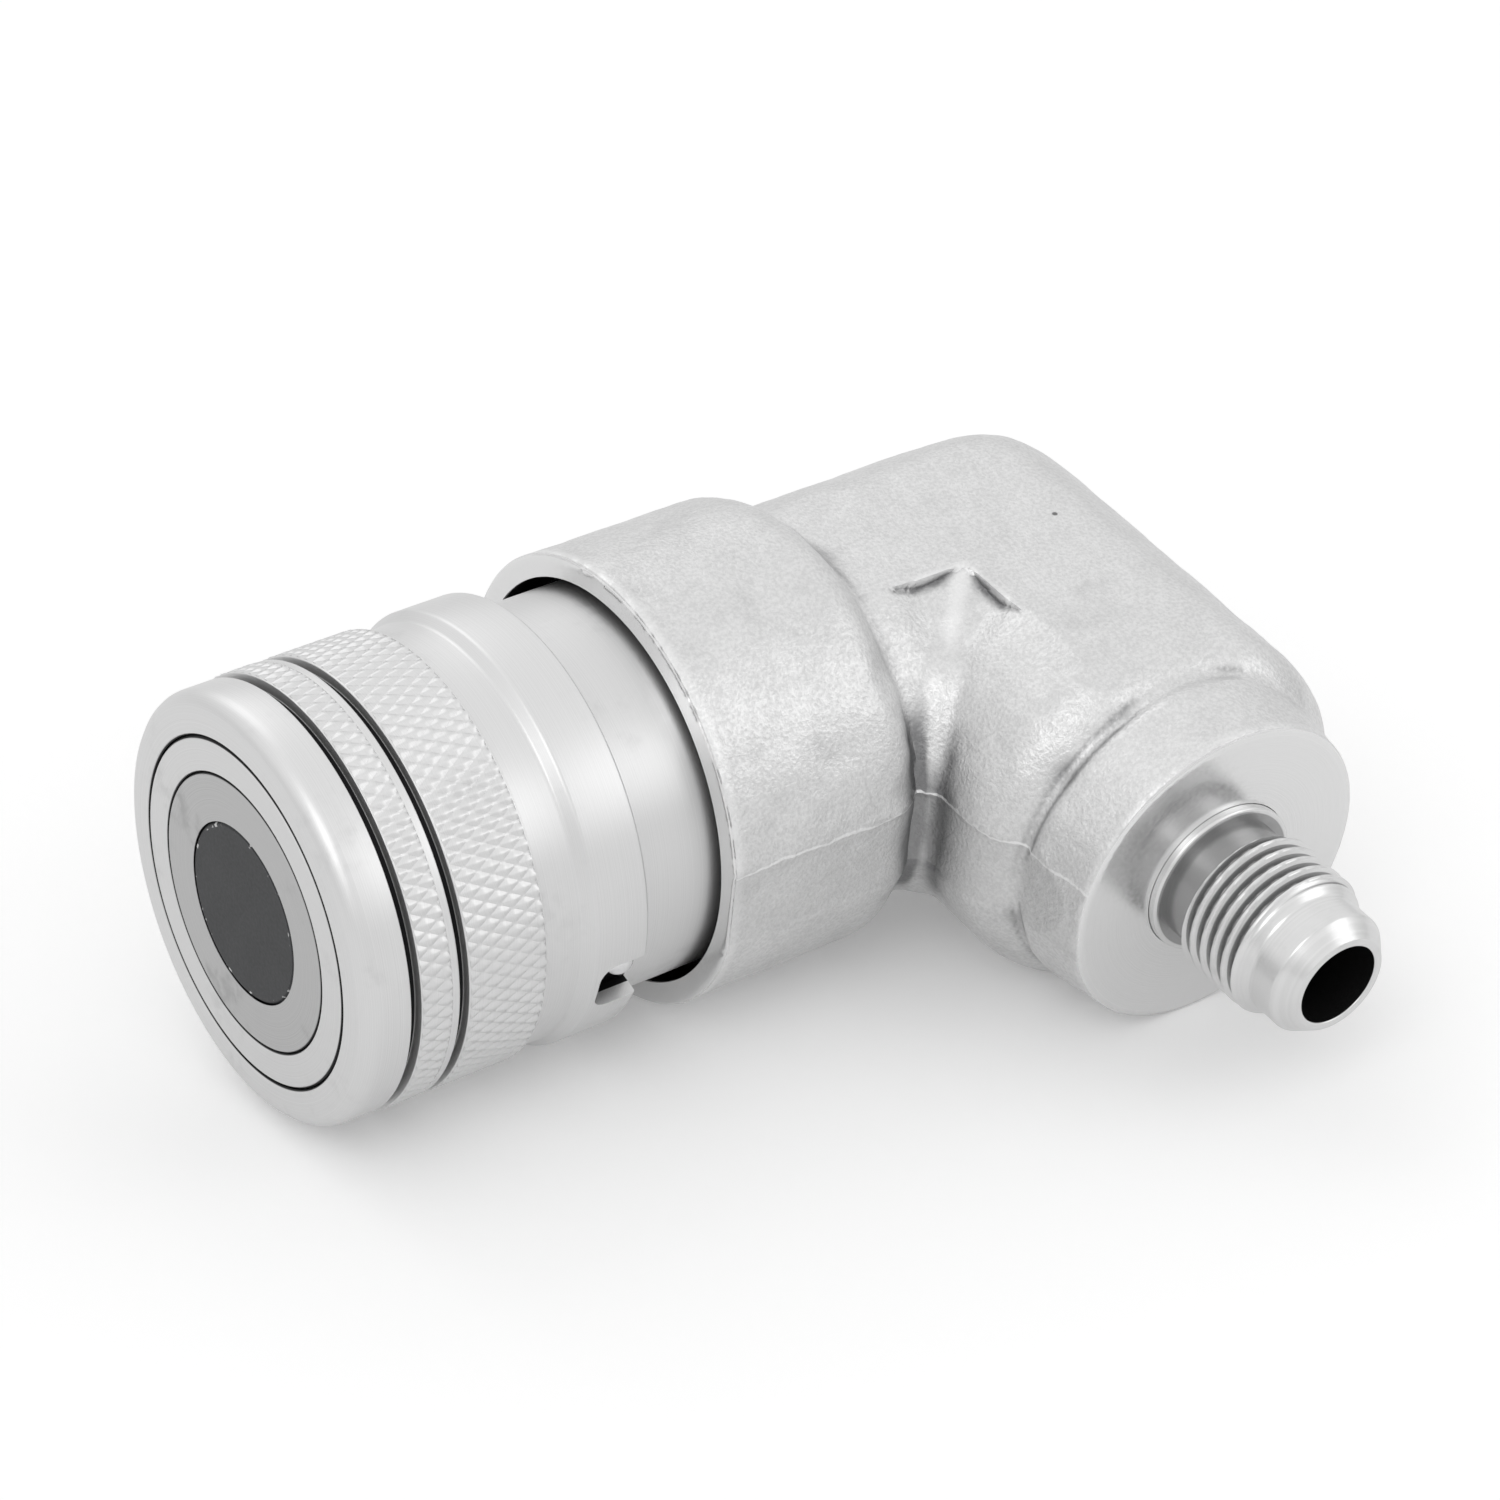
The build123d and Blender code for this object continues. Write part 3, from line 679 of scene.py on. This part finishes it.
forgedPlate = makeForged()
sleevePlate = makeTurned("sleevePlate", wear=0.25)
shankSteel = makeTurned("shankSteel", pale=(0.8, 0.8, 0.8), dull=(0.72, 0.72, 0.72))
ringSteel = makeTurned("ringSteel", pale=(0.6, 0.6, 0.6), dull=(0.5, 0.5, 0.5), wear=1.6)
portSteel = makeTurned("portSteel", onPort=True, roughness=0.27)
stemFace = makeGrained("darkFace", (0.022, 0.023, 0.025), (0.04, 0.041, 0.044), 0.5, 0.2, **nearBlackStem)
ballSteel = makeGrained("ballSteel", (0.78, 0.78, 0.79), (0.88, 0.88, 0.88), 0.12, 1.0)
wireSteel = makeGrained("wireSteel", (0.3, 0.3, 0.31), (0.45, 0.45, 0.46), 0.35, 1.0)
sealRubber = makeGrained("sealRubber", (0.015, 0.015, 0.015), (0.03, 0.03, 0.03), 0.6)
backupPlastic = makeGrained("backupPlastic", (0.78, 0.77, 0.73), (0.86, 0.85, 0.82), 0.4)
print("materials made")

nodeFinish = [
    (forgedPlate, ["elbow_body"]),
    (shankSteel, ["coupler_body", "spring_seat_ring", "stem_carrier", "stem_washer", "stem_nut"]),
    (ringSteel, ["valve_sleeve"]),
    (stemFace, ["valve_stem"]),
    (ballSteel, ["locking_balls", "stop_ball"]),
    (wireSteel, ["carrier_ring"]),
    (sealRubber, ["valve_seal", "stem_seal", "body_seal", "adapter_seal"]),
    (backupPlastic, ["valve_backup_ring", "body_backup_ring"]),
]


def finishNodes():
    for material, names in nodeFinish:
        for name in names:
            materials = nodes[name].data.materials
            materials.clear()
            materials.append(material)


finishNodes()
print("carried-over nodes finished")

# Lock sleeve: turned body, its notch, and two bands of diamond knurl

sleeve = {
    "length": 28.1,
    "noseRadius": 19.6,
    "noseRound": 2.4,
    "gripRadius": 19.7,
    "waistRadius": 19.1,
    "bandRadius": 19.9,
    "bore": 15.89,
    "rearBore": 17.89,
    "recess": 17.5,
    "mouth": 0.2,  # chamfer of the bore
    "recessStart": 2.4,
    "recessEnd": 9.4,
    "landStart": 11.0,
    "landEnd": 13.2,
    "grooves": (4.5, 9.2),
    "grooveWidth": 0.9,
    "grooveDepth": 0.95,
    "gripEnd": 17.9,
    "waistEnd": 21.8,
    "waistRise": 0.9,  # length of the slope up to the band
    "edge": 0.15,
    "foot": 0.1,
    "columns": 240,
    "creaseAngle": 35,
    "notchAngle": 111.4,
    "notchWidth": 5.2,
    "notchDepth": 4.6,
    "notchCorner": 1.6,
    "cornerSteps": 8,
    "cutterRadii": (15, 24),
}
knurl = {
    "starts": 90,
    "steps": 8,  # columns in one diamond
    "slant": 30,
    "depth": 0.19,
    "proud": 0.06,  # of the plain grip
    "land": 0.36,  # share of a diamond that slopes
    "seat": 19.2,
    "sink": 0.15,  # of the band's inside under its seat
    "creaseAngle": 28,
    "bands": {"narrowKnurl": (5.55, 8.45), "wideKnurl": (10.3, 17.75)},
}


def sleeveOutline():
    s = sleeve
    front, rear = s["grooves"]
    seat = knurl["seat"]
    points = [(0, s["bore"] + s["mouth"], s["foot"]), (0, s["noseRadius"], s["noseRound"])]
    for start, radius in ((front, s["noseRadius"]), (rear, s["gripRadius"])):
        end, floor = start + s["grooveWidth"], radius - s["grooveDepth"]
        points += [(start, radius, s["edge"]), (start, floor, s["foot"])]
        points += [(end, floor, s["foot"]), (end, s["gripRadius"], s["edge"])]
        low, high = knurl["bands"]["narrowKnurl" if start == front else "wideKnurl"]
        points += [(low, s["gripRadius"], 0), (low, seat, 0)]
        points += [(high, seat, 0), (high, s["gripRadius"], 0)]
    points += [
        (s["gripEnd"], s["gripRadius"], 0.08),
        (s["gripEnd"], s["waistRadius"], 0.15),
        (s["waistEnd"], s["waistRadius"], 0.6),
        (s["waistEnd"] + s["waistRise"], s["bandRadius"], 0.6),
        (s["length"], s["bandRadius"], 0.35),
        (s["length"], s["rearBore"], s["foot"]),
        (s["landEnd"], s["rearBore"], 0),
        (s["landEnd"], s["bore"], 0),
        (s["landStart"], s["bore"], 0),
        (s["recessEnd"], s["recess"], 0),
        (s["recessStart"], s["recess"], 0),
        (s["recessStart"], s["bore"], 0),
        (s["mouth"], s["bore"], 0),
    ]
    return softCorners(points)


def notchCutter():
    s = sleeve
    bend, steps = s["notchCorner"], s["cornerSteps"]
    deep, wide = s["notchDepth"] - bend, s["notchWidth"] / 2 - bend
    outline = []
    corners = ((deep, wide), (-deep, wide), (-deep, -wide), (deep, -wide))
    for quarter, (cornerX, cornerY) in enumerate(corners):
        for step in range(steps + 1):
            angle = math.radians(quarter * 90 + step * 90 / steps)
            outline.append((cornerX + bend * math.cos(angle), cornerY + bend * math.sin(angle)))
    angle = math.radians(s["notchAngle"])
    out = Vector((0, -math.sin(angle), math.cos(angle)))
    side = Vector((0, -math.cos(angle), -math.sin(angle)))
    centre = Vector((s["length"], 0, 0))
    count = len(outline)
    points = [
        centre + Vector((x, 0, 0)) + side * y + out * radius
        for radius in s["cutterRadii"] for x, y in outline
    ]
    faces = [tuple(range(count))[::-1], tuple(range(count, 2 * count))]
    faces += [(i, (i + 1) % count, count + (i + 1) % count, count + i) for i in range(count)]
    mesh = bpy.data.meshes.new("notchCutter")
    mesh.from_pydata([tuple(p * mm) for p in points], [], faces)
    faceOutwards(mesh)
    return addObject("notchCutter", mesh)


def addSleeve():
    crease = sleeve["creaseAngle"]
    points, faces = turn(sleeveOutline(), sleeve["columns"], couplerPlace)
    piece = addPiece("lockSleeve", points, faces, "sleeve", sleevePlate, crease)
    cutter = notchCutter()
    cut = piece.modifiers.new("notch", "BOOLEAN")
    cut.operation = "DIFFERENCE"
    cut.solver = "EXACT"
    cut.object = cutter
    ready = piece.evaluated_get(bpy.context.evaluated_depsgraph_get())
    notched = bpy.data.meshes.new_from_object(ready)
    piece.modifiers.clear()
    piece.data = notched
    sharpen(notched, crease)
    bpy.data.objects.remove(cutter)
    return piece


# Height of a groove's side, 0 in the groove and 1 on the diamond
def rowShare(steps):
    share = (steps / knurl["steps"]) % 1
    return min(1, min(share, 1 - share) / knurl["land"])


# Rows and columns follow both slants of the knurl, so that every groove is an edge
def knurlBand(name, low, high):
    k = knurl
    columns = k["starts"] * k["steps"]
    across = 2 * math.pi * sleeve["gripRadius"] / columns
    rise = across / (2 * math.tan(math.radians(k["slant"])))
    rows = max(2, round((high - low) / rise))
    rise = (high - low) / rows
    points, faces = [], []
    for row in range(rows + 1):
        for column in range(columns):
            shift = column + (row % 2) / 2
            ridge = min(rowShare(shift + row / 2), rowShare(shift - row / 2))
            radius = sleeve["gripRadius"] + k["proud"] - k["depth"] * (1 - ridge)
            angle = shift * 2 * math.pi / columns
            points.append(ringPoint(low + row * rise, radius, angle))
    for row in range(rows - 1):
        for column in range(columns):
            left = column if row % 2 == 0 else (column + 1) % columns
            here = row * columns + column
            above = (row + 2) * columns + column
            beside = (row + 1) * columns + left
            before = (row + 1) * columns + (left - 1) % columns
            faces.append((here, before, above, beside))
    for row, inner in ((0, 1), (rows, rows - 1)):
        for column in range(columns):
            left = column if row % 2 == 0 else (column + 1) % columns
            here, apex = row * columns + column, inner * columns + left
            beside = row * columns + (column + 1) % columns
            faces.append((here, apex, beside) if row == 0 else (here, beside, apex))
    start, inside = len(points), k["seat"] - k["sink"]
    for along in (high, low):
        for column in range(columns):
            shift = column + (0 if along == low else (rows % 2) / 2)
            angle = shift * 2 * math.pi / columns
            points.append(ringPoint(along, inside, angle))
    for column in range(columns):
        beside = (column + 1) % columns
        top, topBeside = rows * columns + column, rows * columns + beside
        rear, rearBeside = start + column, start + beside
        front, frontBeside = rear + columns, rearBeside + columns
        faces.append((topBeside, top, rear, rearBeside))
        faces.append((rearBeside, rear, front, frontBeside))
        faces.append((frontBeside, front, column, beside))
    piece = addPiece(name, points, faces, "sleeve", sleevePlate, k["creaseAngle"])
    faceOutwards(piece.data)
    sharpen(piece.data, k["creaseAngle"])
    return piece


sleevePieces = [addSleeve()]
sleevePieces += [knurlBand(name, *span) for name, span in knurl["bands"].items()]
for sleevePiece in sleevePieces:
    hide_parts("lock_sleeve")
print("lock sleeve made")

# Forged elbow. x runs along the coupler from the crossing, q away from the port, and n square to
# the flat top.

diagonal = 1.414  # of a square, to its side
elbow = {
    "legRadius": 18.4,
    "flat": 17.0,
    "flatRound": 0.7,
    "fallStart": 25.5,  # where the flat begins to fall towards the flange
    "fallWay": (0.98857, 0.1508),
    "fallRound": 1.0,
    "trim": 17.85,
    "collarTrim": 20.45,
    "bossTrim": 15.5,
    "collarRadius": 20.88,
    "collarFront": -40.0,
    "collarEnd": -18.585,
    "collarRound": 4.8,
    "collarEdge": 0.4,
    "footRound": 0.6,  # where collar and boss stand on the legs
    "outerRound": 9.0,
    "outerLeast": 0.5,
    "innerRound": 2.6,
    "padEdge": 7.04,
    "padLean": 0.3,
    "padStep": 0.85,
    "padFade": (12.0, 16.5),
    "padRound": 2.0,
    "padTopRound": 0.12,
    "padAway": 9,  # its distance outside the valley
    "shoulderEnd": 30.8,
    "shoulderLean": 3.6,
    "shoulderSpan": (2, 14),
    "shoulderRound": 7.0,
    "bossStart": 10,
    "bossTaper": 0.155,
    "bossPlain": 30.6,
    "creaseDepth": 0.9,
    "creaseSpan": (0.6, -2.2),
    "flangeRadius": 15.19,
    "flangeFace": 37.3,
    "flangeEdge": 0.45,
    "couplerBores": [(18.75, -35), (17.85, -22.35), (15.4, -16.3), (8, 5.7)],  # radius, end
    "portBores": [(4, 0), (7.5, -27.3)],
    "ridge": 0.14,
    "ridgeHeight": 3.75,
    "ridgeWidth": 0.27,
    "ridgeWander": 0.3,
    "ridgeWaves": [(0.25, 0.31, 0.23, 0), (0.15, 0.71, -0.53, 1)],  # height, by x, by q, phase
    "rib": 0.4,
    "ribWidth": 1.15,
    "low": (-40.8, -38.1, -21.6),
    "high": (18.8, 21.5, 21.6),
    "cell": 0.46,
    "slopeReach": 0.05,
    "creaseAngle": 40,
}
# Unevenness of the forged skin, which fades out at the machined faces and bores
skin = {
    "waves": [(0.03, 5.0, 16, 4), (0.012, 1.6, 20, 5)],  # height, length, count, seed
    "stretch": (0.75, 1.4),
    "limit": 0.06,
    "faceFade": (0.4, 1.5),
    "boreEnd": -18,
    "boreFade": (17.0, 17.5),
    "portFade": (9.0, 12.0),
    "away": 20,  # distance given where a bore has no part
}
# Painted shade of creases and painted highlight of ridges
shade = {
    "reaches": ((0.7, 0.35), (1.6, 0.35), (3.4, 0.3)),  # probed distance, share
    "valley": (30, 24),  # where it ends, and where it is in full
    "ribHighlight": 0.5,
    "ribWidth": 1.25,
    "ribSpan": (12.5, 15.5),
    "footShade": (0.26, 0.12),  # right and left of the rib
    "footNear": (1.3, 2.2),
    "footFar": (10.0, 2.5),
    "footLow": (14.5, 4.5),
    "shine": 0.3,
    "shineSpots": ((-16.6, -7.4), (-7.4, -17.2)),
    "shineSpread": 3.0,
    "shineAbove": 10,
}


# Signed distances joined with a rounded corner: both at once, and either
def roundInside(a, b, r):
    return np.minimum(-r, np.maximum(a, b)) + np.hypot(np.maximum(r + a, 0), np.maximum(r + b, 0))


def roundEither(a, b, r):
    return np.maximum(r, np.minimum(a, b)) - np.hypot(np.maximum(r - a, 0), np.maximum(r - b, 0))


def smooth(low, high, value):
    share = np.clip((value - low) / (high - low), 0, 1)
    return share * share * (3 - 2 * share)


# The outside alone
def outerField(x, q, n):
    e = elbow
    high = np.abs(n)
    aroundCoupler, aroundPort = np.hypot(q, n), np.hypot(x, n)
    valley = (x < 0) & (q < 0)
    fade = (1 - smooth(*e["padFade"], np.abs(x))) * (1 - smooth(*e["padFade"], np.abs(q)))
    lower = np.where(valley, e["padStep"] * fade, 0)
    wander = e["ridgeWander"] * sum(h * np.sin(x * a + q * b + c) for h, a, b, c in e["ridgeWaves"])
    ridge = e["ridge"] * np.exp(-(((n - e["ridgeHeight"] - wander) / e["ridgeWidth"]) ** 2))
    couplerLeg = np.maximum(aroundCoupler - e["legRadius"], np.abs(q) - e["trim"]) + lower - ridge
    portLeg = np.maximum(aroundPort - e["legRadius"], np.abs(x) - e["trim"]) + lower - ridge
    bend = np.clip(e["legRadius"] - high, e["outerLeast"], e["outerRound"])
    outer = roundInside(couplerLeg, portLeg, bend)
    rib = e["rib"] * np.exp(-(((x - q) / diagonal / e["ribWidth"]) ** 2))
    inner = roundEither(couplerLeg, portLeg, e["innerRound"]) - rib
    legs = np.where(x > 0, np.where(q > 0, outer, portLeg), np.where(q > 0, couplerLeg, inner))
    # the flat top, with the raised corner step over the valley
    edge = e["padEdge"] + e["padLean"] * fade
    pad = np.where(valley, roundEither(-q - edge, -x - edge, e["padRound"]), e["padAway"])
    top = high - e["flat"]
    legs = np.minimum(roundInside(legs, top, e["flatRound"]), roundInside(pad, top, e["padTopRound"]))
    shoulderEnd = e["shoulderEnd"] + e["shoulderLean"] * smooth(*e["shoulderSpan"], x)
    legs = roundInside(legs, -q - shoulderEnd, e["shoulderRound"])
    fall = top * e["fallWay"][0] + (-q - e["fallStart"]) * e["fallWay"][1]
    legs = roundInside(legs, fall, e["fallRound"])
    collar = np.maximum(aroundCoupler - e["collarRadius"], np.abs(q) - e["collarTrim"]) - ridge
    collar = roundInside(collar, x - e["collarEnd"], e["collarRound"])
    body = roundEither(legs, collar, e["footRound"])
    taper = e["flangeRadius"] + e["bossTaper"] * (e["flangeFace"] - np.maximum(-q, e["bossPlain"]))
    taper = taper - e["creaseDepth"] * smooth(*(e["bossPlain"] + side for side in e["creaseSpan"]), -q)
    boss = np.maximum(aroundPort - taper, np.abs(x) - e["bossTrim"])
    boss = np.maximum(boss, q + e["bossStart"])
    body = roundEither(body, boss, e["footRound"])
    body = roundInside(body, -q - e["flangeFace"], e["flangeEdge"])
    return roundInside(body, e["collarFront"] - x, e["collarEdge"])


def elbowField(x, q, n):
    field = outerField(x, q, n)
    aroundCoupler, aroundPort = np.hypot(q, n), np.hypot(x, n)
    for radius, end in elbow["couplerBores"]:
        field = np.maximum(field, -np.maximum(aroundCoupler - radius, x - end))
    for radius, end in elbow["portBores"]:
        field = np.maximum(field, -np.maximum(aroundPort - radius, q - end))
    return field


# How much a field rises along each axis, over a short reach to both sides
def rises(field, points, reach):
    steps = np.eye(3) * reach
    return np.stack([field(*(points + s).T) - field(*(points - s).T) for s in steps], axis=1)


fit = {
    "halvings": 9,
    "probe": 0.02,
    "hold": 0.03,  # pull of each point towards the middle of its crossings
    "spill": 0.1,  # how far a point may leave its cell
}


# Closed mesh of where a field is below zero. Each cell's point is fitted to the faces that cross it.
def contour(field, low, high, cell):
    counts = [int(np.ceil((high[i] - low[i]) / cell)) + 1 for i in range(3)]
    lines = [low[i] + cell * np.arange(counts[i]) for i in range(3)]
    grid = np.meshgrid(*lines, indexing="ij")
    values = field(*grid)
    cells = [c - 1 for c in counts]
    total = cells[0] * cells[1] * cells[2]
    sums = np.zeros((13, total))
    quads = []
    for axis in range(3):
        start = values.take(range(counts[axis] - 1), axis)
        end = values.take(range(1, counts[axis]), axis)
        at = np.argwhere((start < 0) != (end < 0))
        side = start[tuple(at.T)] < 0
        point = np.array(low) + cell * at
        near, far = np.zeros(len(at)), np.ones(len(at))
        for _ in range(fit["halvings"]):
            middle = (near + far) / 2
            probe = point.copy()
            probe[:, axis] += middle * cell
            same = (field(*probe.T) < 0) == side
            near, far = np.where(same, middle, near), np.where(same, far, middle)
        point[:, axis] += (near + far) / 2 * cell
        normal = rises(field, point, fit["probe"])
        normal /= np.linalg.norm(normal, axis=1, keepdims=True) + 1e-12
        reach = (normal * point).sum(1)
        one, two = [i for i in range(3) if i != axis]
        corners = []
        for lessOne, lessTwo in ((0, 0), (1, 0), (1, 1), (0, 1)):
            cellAt = at.copy()
            cellAt[:, one] -= lessOne
            cellAt[:, two] -= lessTwo
            flat = (cellAt[:, 0] * cells[1] + cellAt[:, 1]) * cells[2] + cellAt[:, 2]
            corners.append(flat)
            terms = [np.ones(len(at)), *point.T, *(normal.T * reach)]
            terms += [normal[:, i] * normal[:, j] for i in range(3) for j in range(i, 3)]
            for row, term in enumerate(terms):
                sums[row] += np.bincount(flat, weights=term, minlength=total)
        corners = np.stack(corners, axis=1)
        flip = ~side if axis != 1 else side
        quads.append(np.where(flip[:, None], corners[:, ::-1], corners))
    used = np.flatnonzero(sums[0])
    data = sums[:, used]
    mean = (data[1:4] / data[0]).T
    xx, xy, xz, yy, yz, zz = data[7:13]
    matrix = np.array([[xx, xy, xz], [xy, yy, yz], [xz, yz, zz]]).transpose(2, 0, 1)
    left = matrix + fit["hold"] * data[0][:, None, None] * np.eye(3)
    right = data[4:7].T - np.einsum("kij,kj->ki", matrix, mean)
    points = mean + np.linalg.solve(left, right[:, :, None])[:, :, 0]
    index = np.stack(np.unravel_index(used, cells), axis=1)
    floor, spill = np.array(low) + cell * index, fit["spill"]
    points = np.clip(points, floor - spill * cell, floor + (1 + spill) * cell)
    order = np.full(total, -1)
    order[used] = np.arange(len(used))
    faces = order[np.concatenate(quads)]
    return points, faces


# Slow unevenness of a forged face, from waves in scattered directions
def unevenness(points, length, waves, seed):
    chance = np.random.default_rng(seed)
    ways = chance.normal(size=(waves, 3))
    ways /= np.linalg.norm(ways, axis=1, keepdims=True)
    stretches = chance.uniform(*skin["stretch"], waves)
    phases = chance.uniform(0, 2 * math.pi, waves)
    total = np.zeros(len(points))
    for way, stretch, phase in zip(ways, stretches, phases):
        total += np.sin(points @ way * 2 * math.pi / (length * stretch) + phase)
    return total / math.sqrt(waves / 2)


# How deep in a crease, and how proud on a ridge, each point lies: 0 on a plain face
def formShares(points, out):
    hollow, proud = np.zeros(len(points)), np.zeros(len(points))
    for reach, share in shade["reaches"]:
        above = outerField(*(points + out * reach).T)
        below = outerField(*(points - out * reach).T)
        hollow += share * np.clip(1 - above / reach, 0, 1)
        proud += share * np.clip(1 + below / reach, 0, 1)
    # painted highlight along the rib in the valley, painted shade at its foot, and painted highlight
    # spots at the flat's two ends
    x, q, n = points.T
    inner = (x < 0) & (q < 0) & (n > elbow["ridgeHeight"])
    inner = inner * smooth(*shade["valley"], -x - q + np.abs(x - q))
    aside = np.abs(x - q) / diagonal
    rib = np.exp(-((aside / shade["ribWidth"]) ** 2))
    proud += shade["ribHighlight"] * inner * rib * smooth(*shade["ribSpan"], -x - q)
    foot = smooth(*shade["footNear"], aside) * smooth(*shade["footFar"], aside)
    foot = foot * smooth(*shade["footLow"], n)
    hollow += np.where(q < x, *shade["footShade"]) * inner * foot
    for endX, endQ in shade["shineSpots"]:
        spot = np.exp(-(((x - endX) ** 2 + (q - endQ) ** 2) / shade["shineSpread"]))
        proud += shade["shine"] * spot * (n > shade["shineAbove"])
    return hollow, proud


def addElbow():
    e, away = elbow, skin["away"]
    points, faces = contour(elbowField, e["low"], e["high"], e["cell"])
    slope = rises(elbowField, points, e["slopeReach"])
    slope /= np.linalg.norm(slope, axis=1, keepdims=True) + 1e-9
    x, q, n = points.T
    rough = smooth(*(e["collarFront"] + side for side in skin["faceFade"]), x)
    rough = rough * smooth(*(e["flangeFace"] - side for side in skin["faceFade"]), -q)
    inCollar = x < skin["boreEnd"]
    rough *= smooth(*skin["boreFade"], np.where(inCollar, np.hypot(q, n), away))
    fromPort = np.hypot(x, n) + np.maximum(q, 0) * 2 + np.where(inCollar, away, 0)
    rough *= smooth(*skin["portFade"], fromPort)
    lift = sum(height * unevenness(points, *wave) for height, *wave in skin["waves"])
    lift = np.minimum(lift, skin["limit"])
    points = points - slope * (rough * (skin["limit"] - lift))[:, None]
    hollow, proud = formShares(points, slope)
    x, q, n = points.T
    placed = np.stack([
        x + crossing.x,
        q * backWay.y + n * upWay.y,
        q * backWay.z + n * upWay.z,
    ], axis=1)
    faces = [tuple(f) for f in faces.tolist()]
    crease = e["creaseAngle"]
    piece = addPiece("forgedElbow", placed, faces, "housing", forgedPlate, crease)
    # hollow and proud carry the painted shade of creases and the painted highlight of ridges
    for label, shares in (("hollow", hollow), ("proud", proud)):
        piece.data.attributes.new(label, "FLOAT", "POINT").data.foreach_set("value", shares)
    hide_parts("elbow_body")


addElbow()
print("elbow made")

# Port adapter with its thread and flared nose, along the port's axis from the crossing

adapter = {
    "rootStart": 27.35,
    "rootRadius": 7.45,
    "rootEnd": 38.1,
    "neckRadius": 6.15,
    "threadStart": 40.9,
    "threadSlope": 0.55,  # length of the chamfer that starts it
    "threadRadius": 7.144,
    "threadEnd": 48.2,
    "pitch": 25.4 / 18,
    "threadDepth": 0.82,
    "threadRoot": 0.12,  # shares of half the pitch: the flat root, and the flank
    "threadFlank": 0.72,
    "runIn": (0.1, 0.3),  # how far outside its ends the thread fades, and over what length
    "runOut": (0.5, 0.6),
    "flareRadius": 6.1,
    "flareStart": 49.5,
    "coneStart": 52.3,
    "flareAngle": 37,
    "noseEnd": 54.1,
    "bore": 4.0,
    "wall": 1.5,
    "sealPlace": 29.5,
    "sealHalf": 0.77,
    "sealDepth": 1.45,
    "columns": 160,
    "step": 0.06,  # longest on the thread
    "stepMargins": (0.2, 1.4),
    "creaseAngle": 40,
}


def threadShape(along, radius, angle):
    a = adapter
    turnShare = ((along - a["threadStart"]) / a["pitch"] - angle / (2 * math.pi)) % 1
    side = np.abs(turnShare - 0.5) * 2  # 0 at the root, 1 at the crest
    cut = a["threadDepth"] * (1 - np.clip((side - a["threadRoot"]) / a["threadFlank"], 0, 1))
    start = np.clip((along - a["threadStart"] + a["runIn"][0]) / a["runIn"][1], 0, 1)
    end = np.clip((a["threadEnd"] + a["runOut"][0] - along) / a["runOut"][1], 0, 1)
    deep = np.maximum(a["threadRadius"] - cut, a["neckRadius"])
    outer = radius > a["bore"] + a["wall"]
    cutRadius = np.where(outer, np.minimum(radius, deep), radius)
    return along, radius + (cutRadius - radius) * start * end


def addAdapter():
    a = adapter
    lip = a["flareRadius"] - (a["noseEnd"] - a["coneStart"]) * math.tan(math.radians(a["flareAngle"]))
    sealStart, sealEnd = a["sealPlace"] - a["sealHalf"], a["sealPlace"] + a["sealHalf"]
    sealFloor = a["rootRadius"] - a["sealDepth"]
    outline = softCorners([
        (a["rootStart"], a["bore"], 0.1),
        (a["rootStart"], a["rootRadius"], 0.4),
        (sealStart, a["rootRadius"], 0),
        (sealStart, sealFloor, 0),
        (sealEnd, sealFloor, 0),
        (sealEnd, a["rootRadius"], 0),
        (a["rootEnd"], a["rootRadius"], 0.3),
        (a["rootEnd"], a["neckRadius"], 0),
        (a["threadStart"], a["neckRadius"], 0.1),
        (a["threadStart"] + a["threadSlope"], a["threadRadius"], 0.05),
        (a["threadEnd"], a["threadRadius"], 0.4),
        (a["flareStart"], a["flareRadius"], 0.8),
        (a["coneStart"], a["flareRadius"], 0.5),
        (a["noseEnd"], lip, 0.2),
        (a["noseEnd"], a["bore"], 0.15),
    ])
    before, behind = a["stepMargins"]
    outline = divide(outline, a["step"], a["threadStart"] - before, a["threadEnd"] + behind)
    points, faces = turn(outline, a["columns"], portPlace, threadShape)
    crease = a["creaseAngle"]
    piece = addPiece("portAdapter", points, faces, "housing", portSteel, crease)
    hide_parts("port_adapter")


addAdapter()
print("port adapter made")

# Springs, coiled inside the box of the node each one replaces

springs = {
    # name: node, joint, travel, wire radius, turns
    "valveCoil": ("valve_spring", "valve_slide", 9.0, 0.85, 5),
    "sleeveCoil": ("sleeve_spring", "sleeve_slide", 1.4, 0.65, 4),
}
coil = {"stepsPerTurn": 40, "wireSides": 12, "creaseAngle": 50}


def addSpring(name, node, joint, travel, wire, turns):
    low, high = (Vector(corner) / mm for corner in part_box(node))
    length = high.x - low.x
    middle = (high.z - low.z) / 2 - wire
    steps, sides = turns * coil["stepsPerTurn"], coil["wireSides"]
    points, faces = [], []
    for step in range(steps + 1):
        share = step / steps
        angle = share * turns * 2 * math.pi
        along = low.x + wire + share * (length - 2 * wire)
        for side in range(sides):
            lean = side * 2 * math.pi / sides
            radius = middle + wire * math.cos(lean)
            points.append(ringPoint(along + wire * math.sin(lean), radius, angle))
    for step in range(steps):
        here = step * sides
        for side in range(sides):
            beside = (side + 1) % sides
            faces.append((here + side, here + beside, here + sides + beside, here + sides + side))
    faces += [tuple(range(sides))[::-1], tuple(range(steps * sides, (steps + 1) * sides))]
    piece = addPiece(name, points, faces, "housing", wireSteel, coil["creaseAngle"])
    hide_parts(node)
    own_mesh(piece)


for springName, springFacts in springs.items():
    addSpring(springName, *springFacts)
print("springs made")
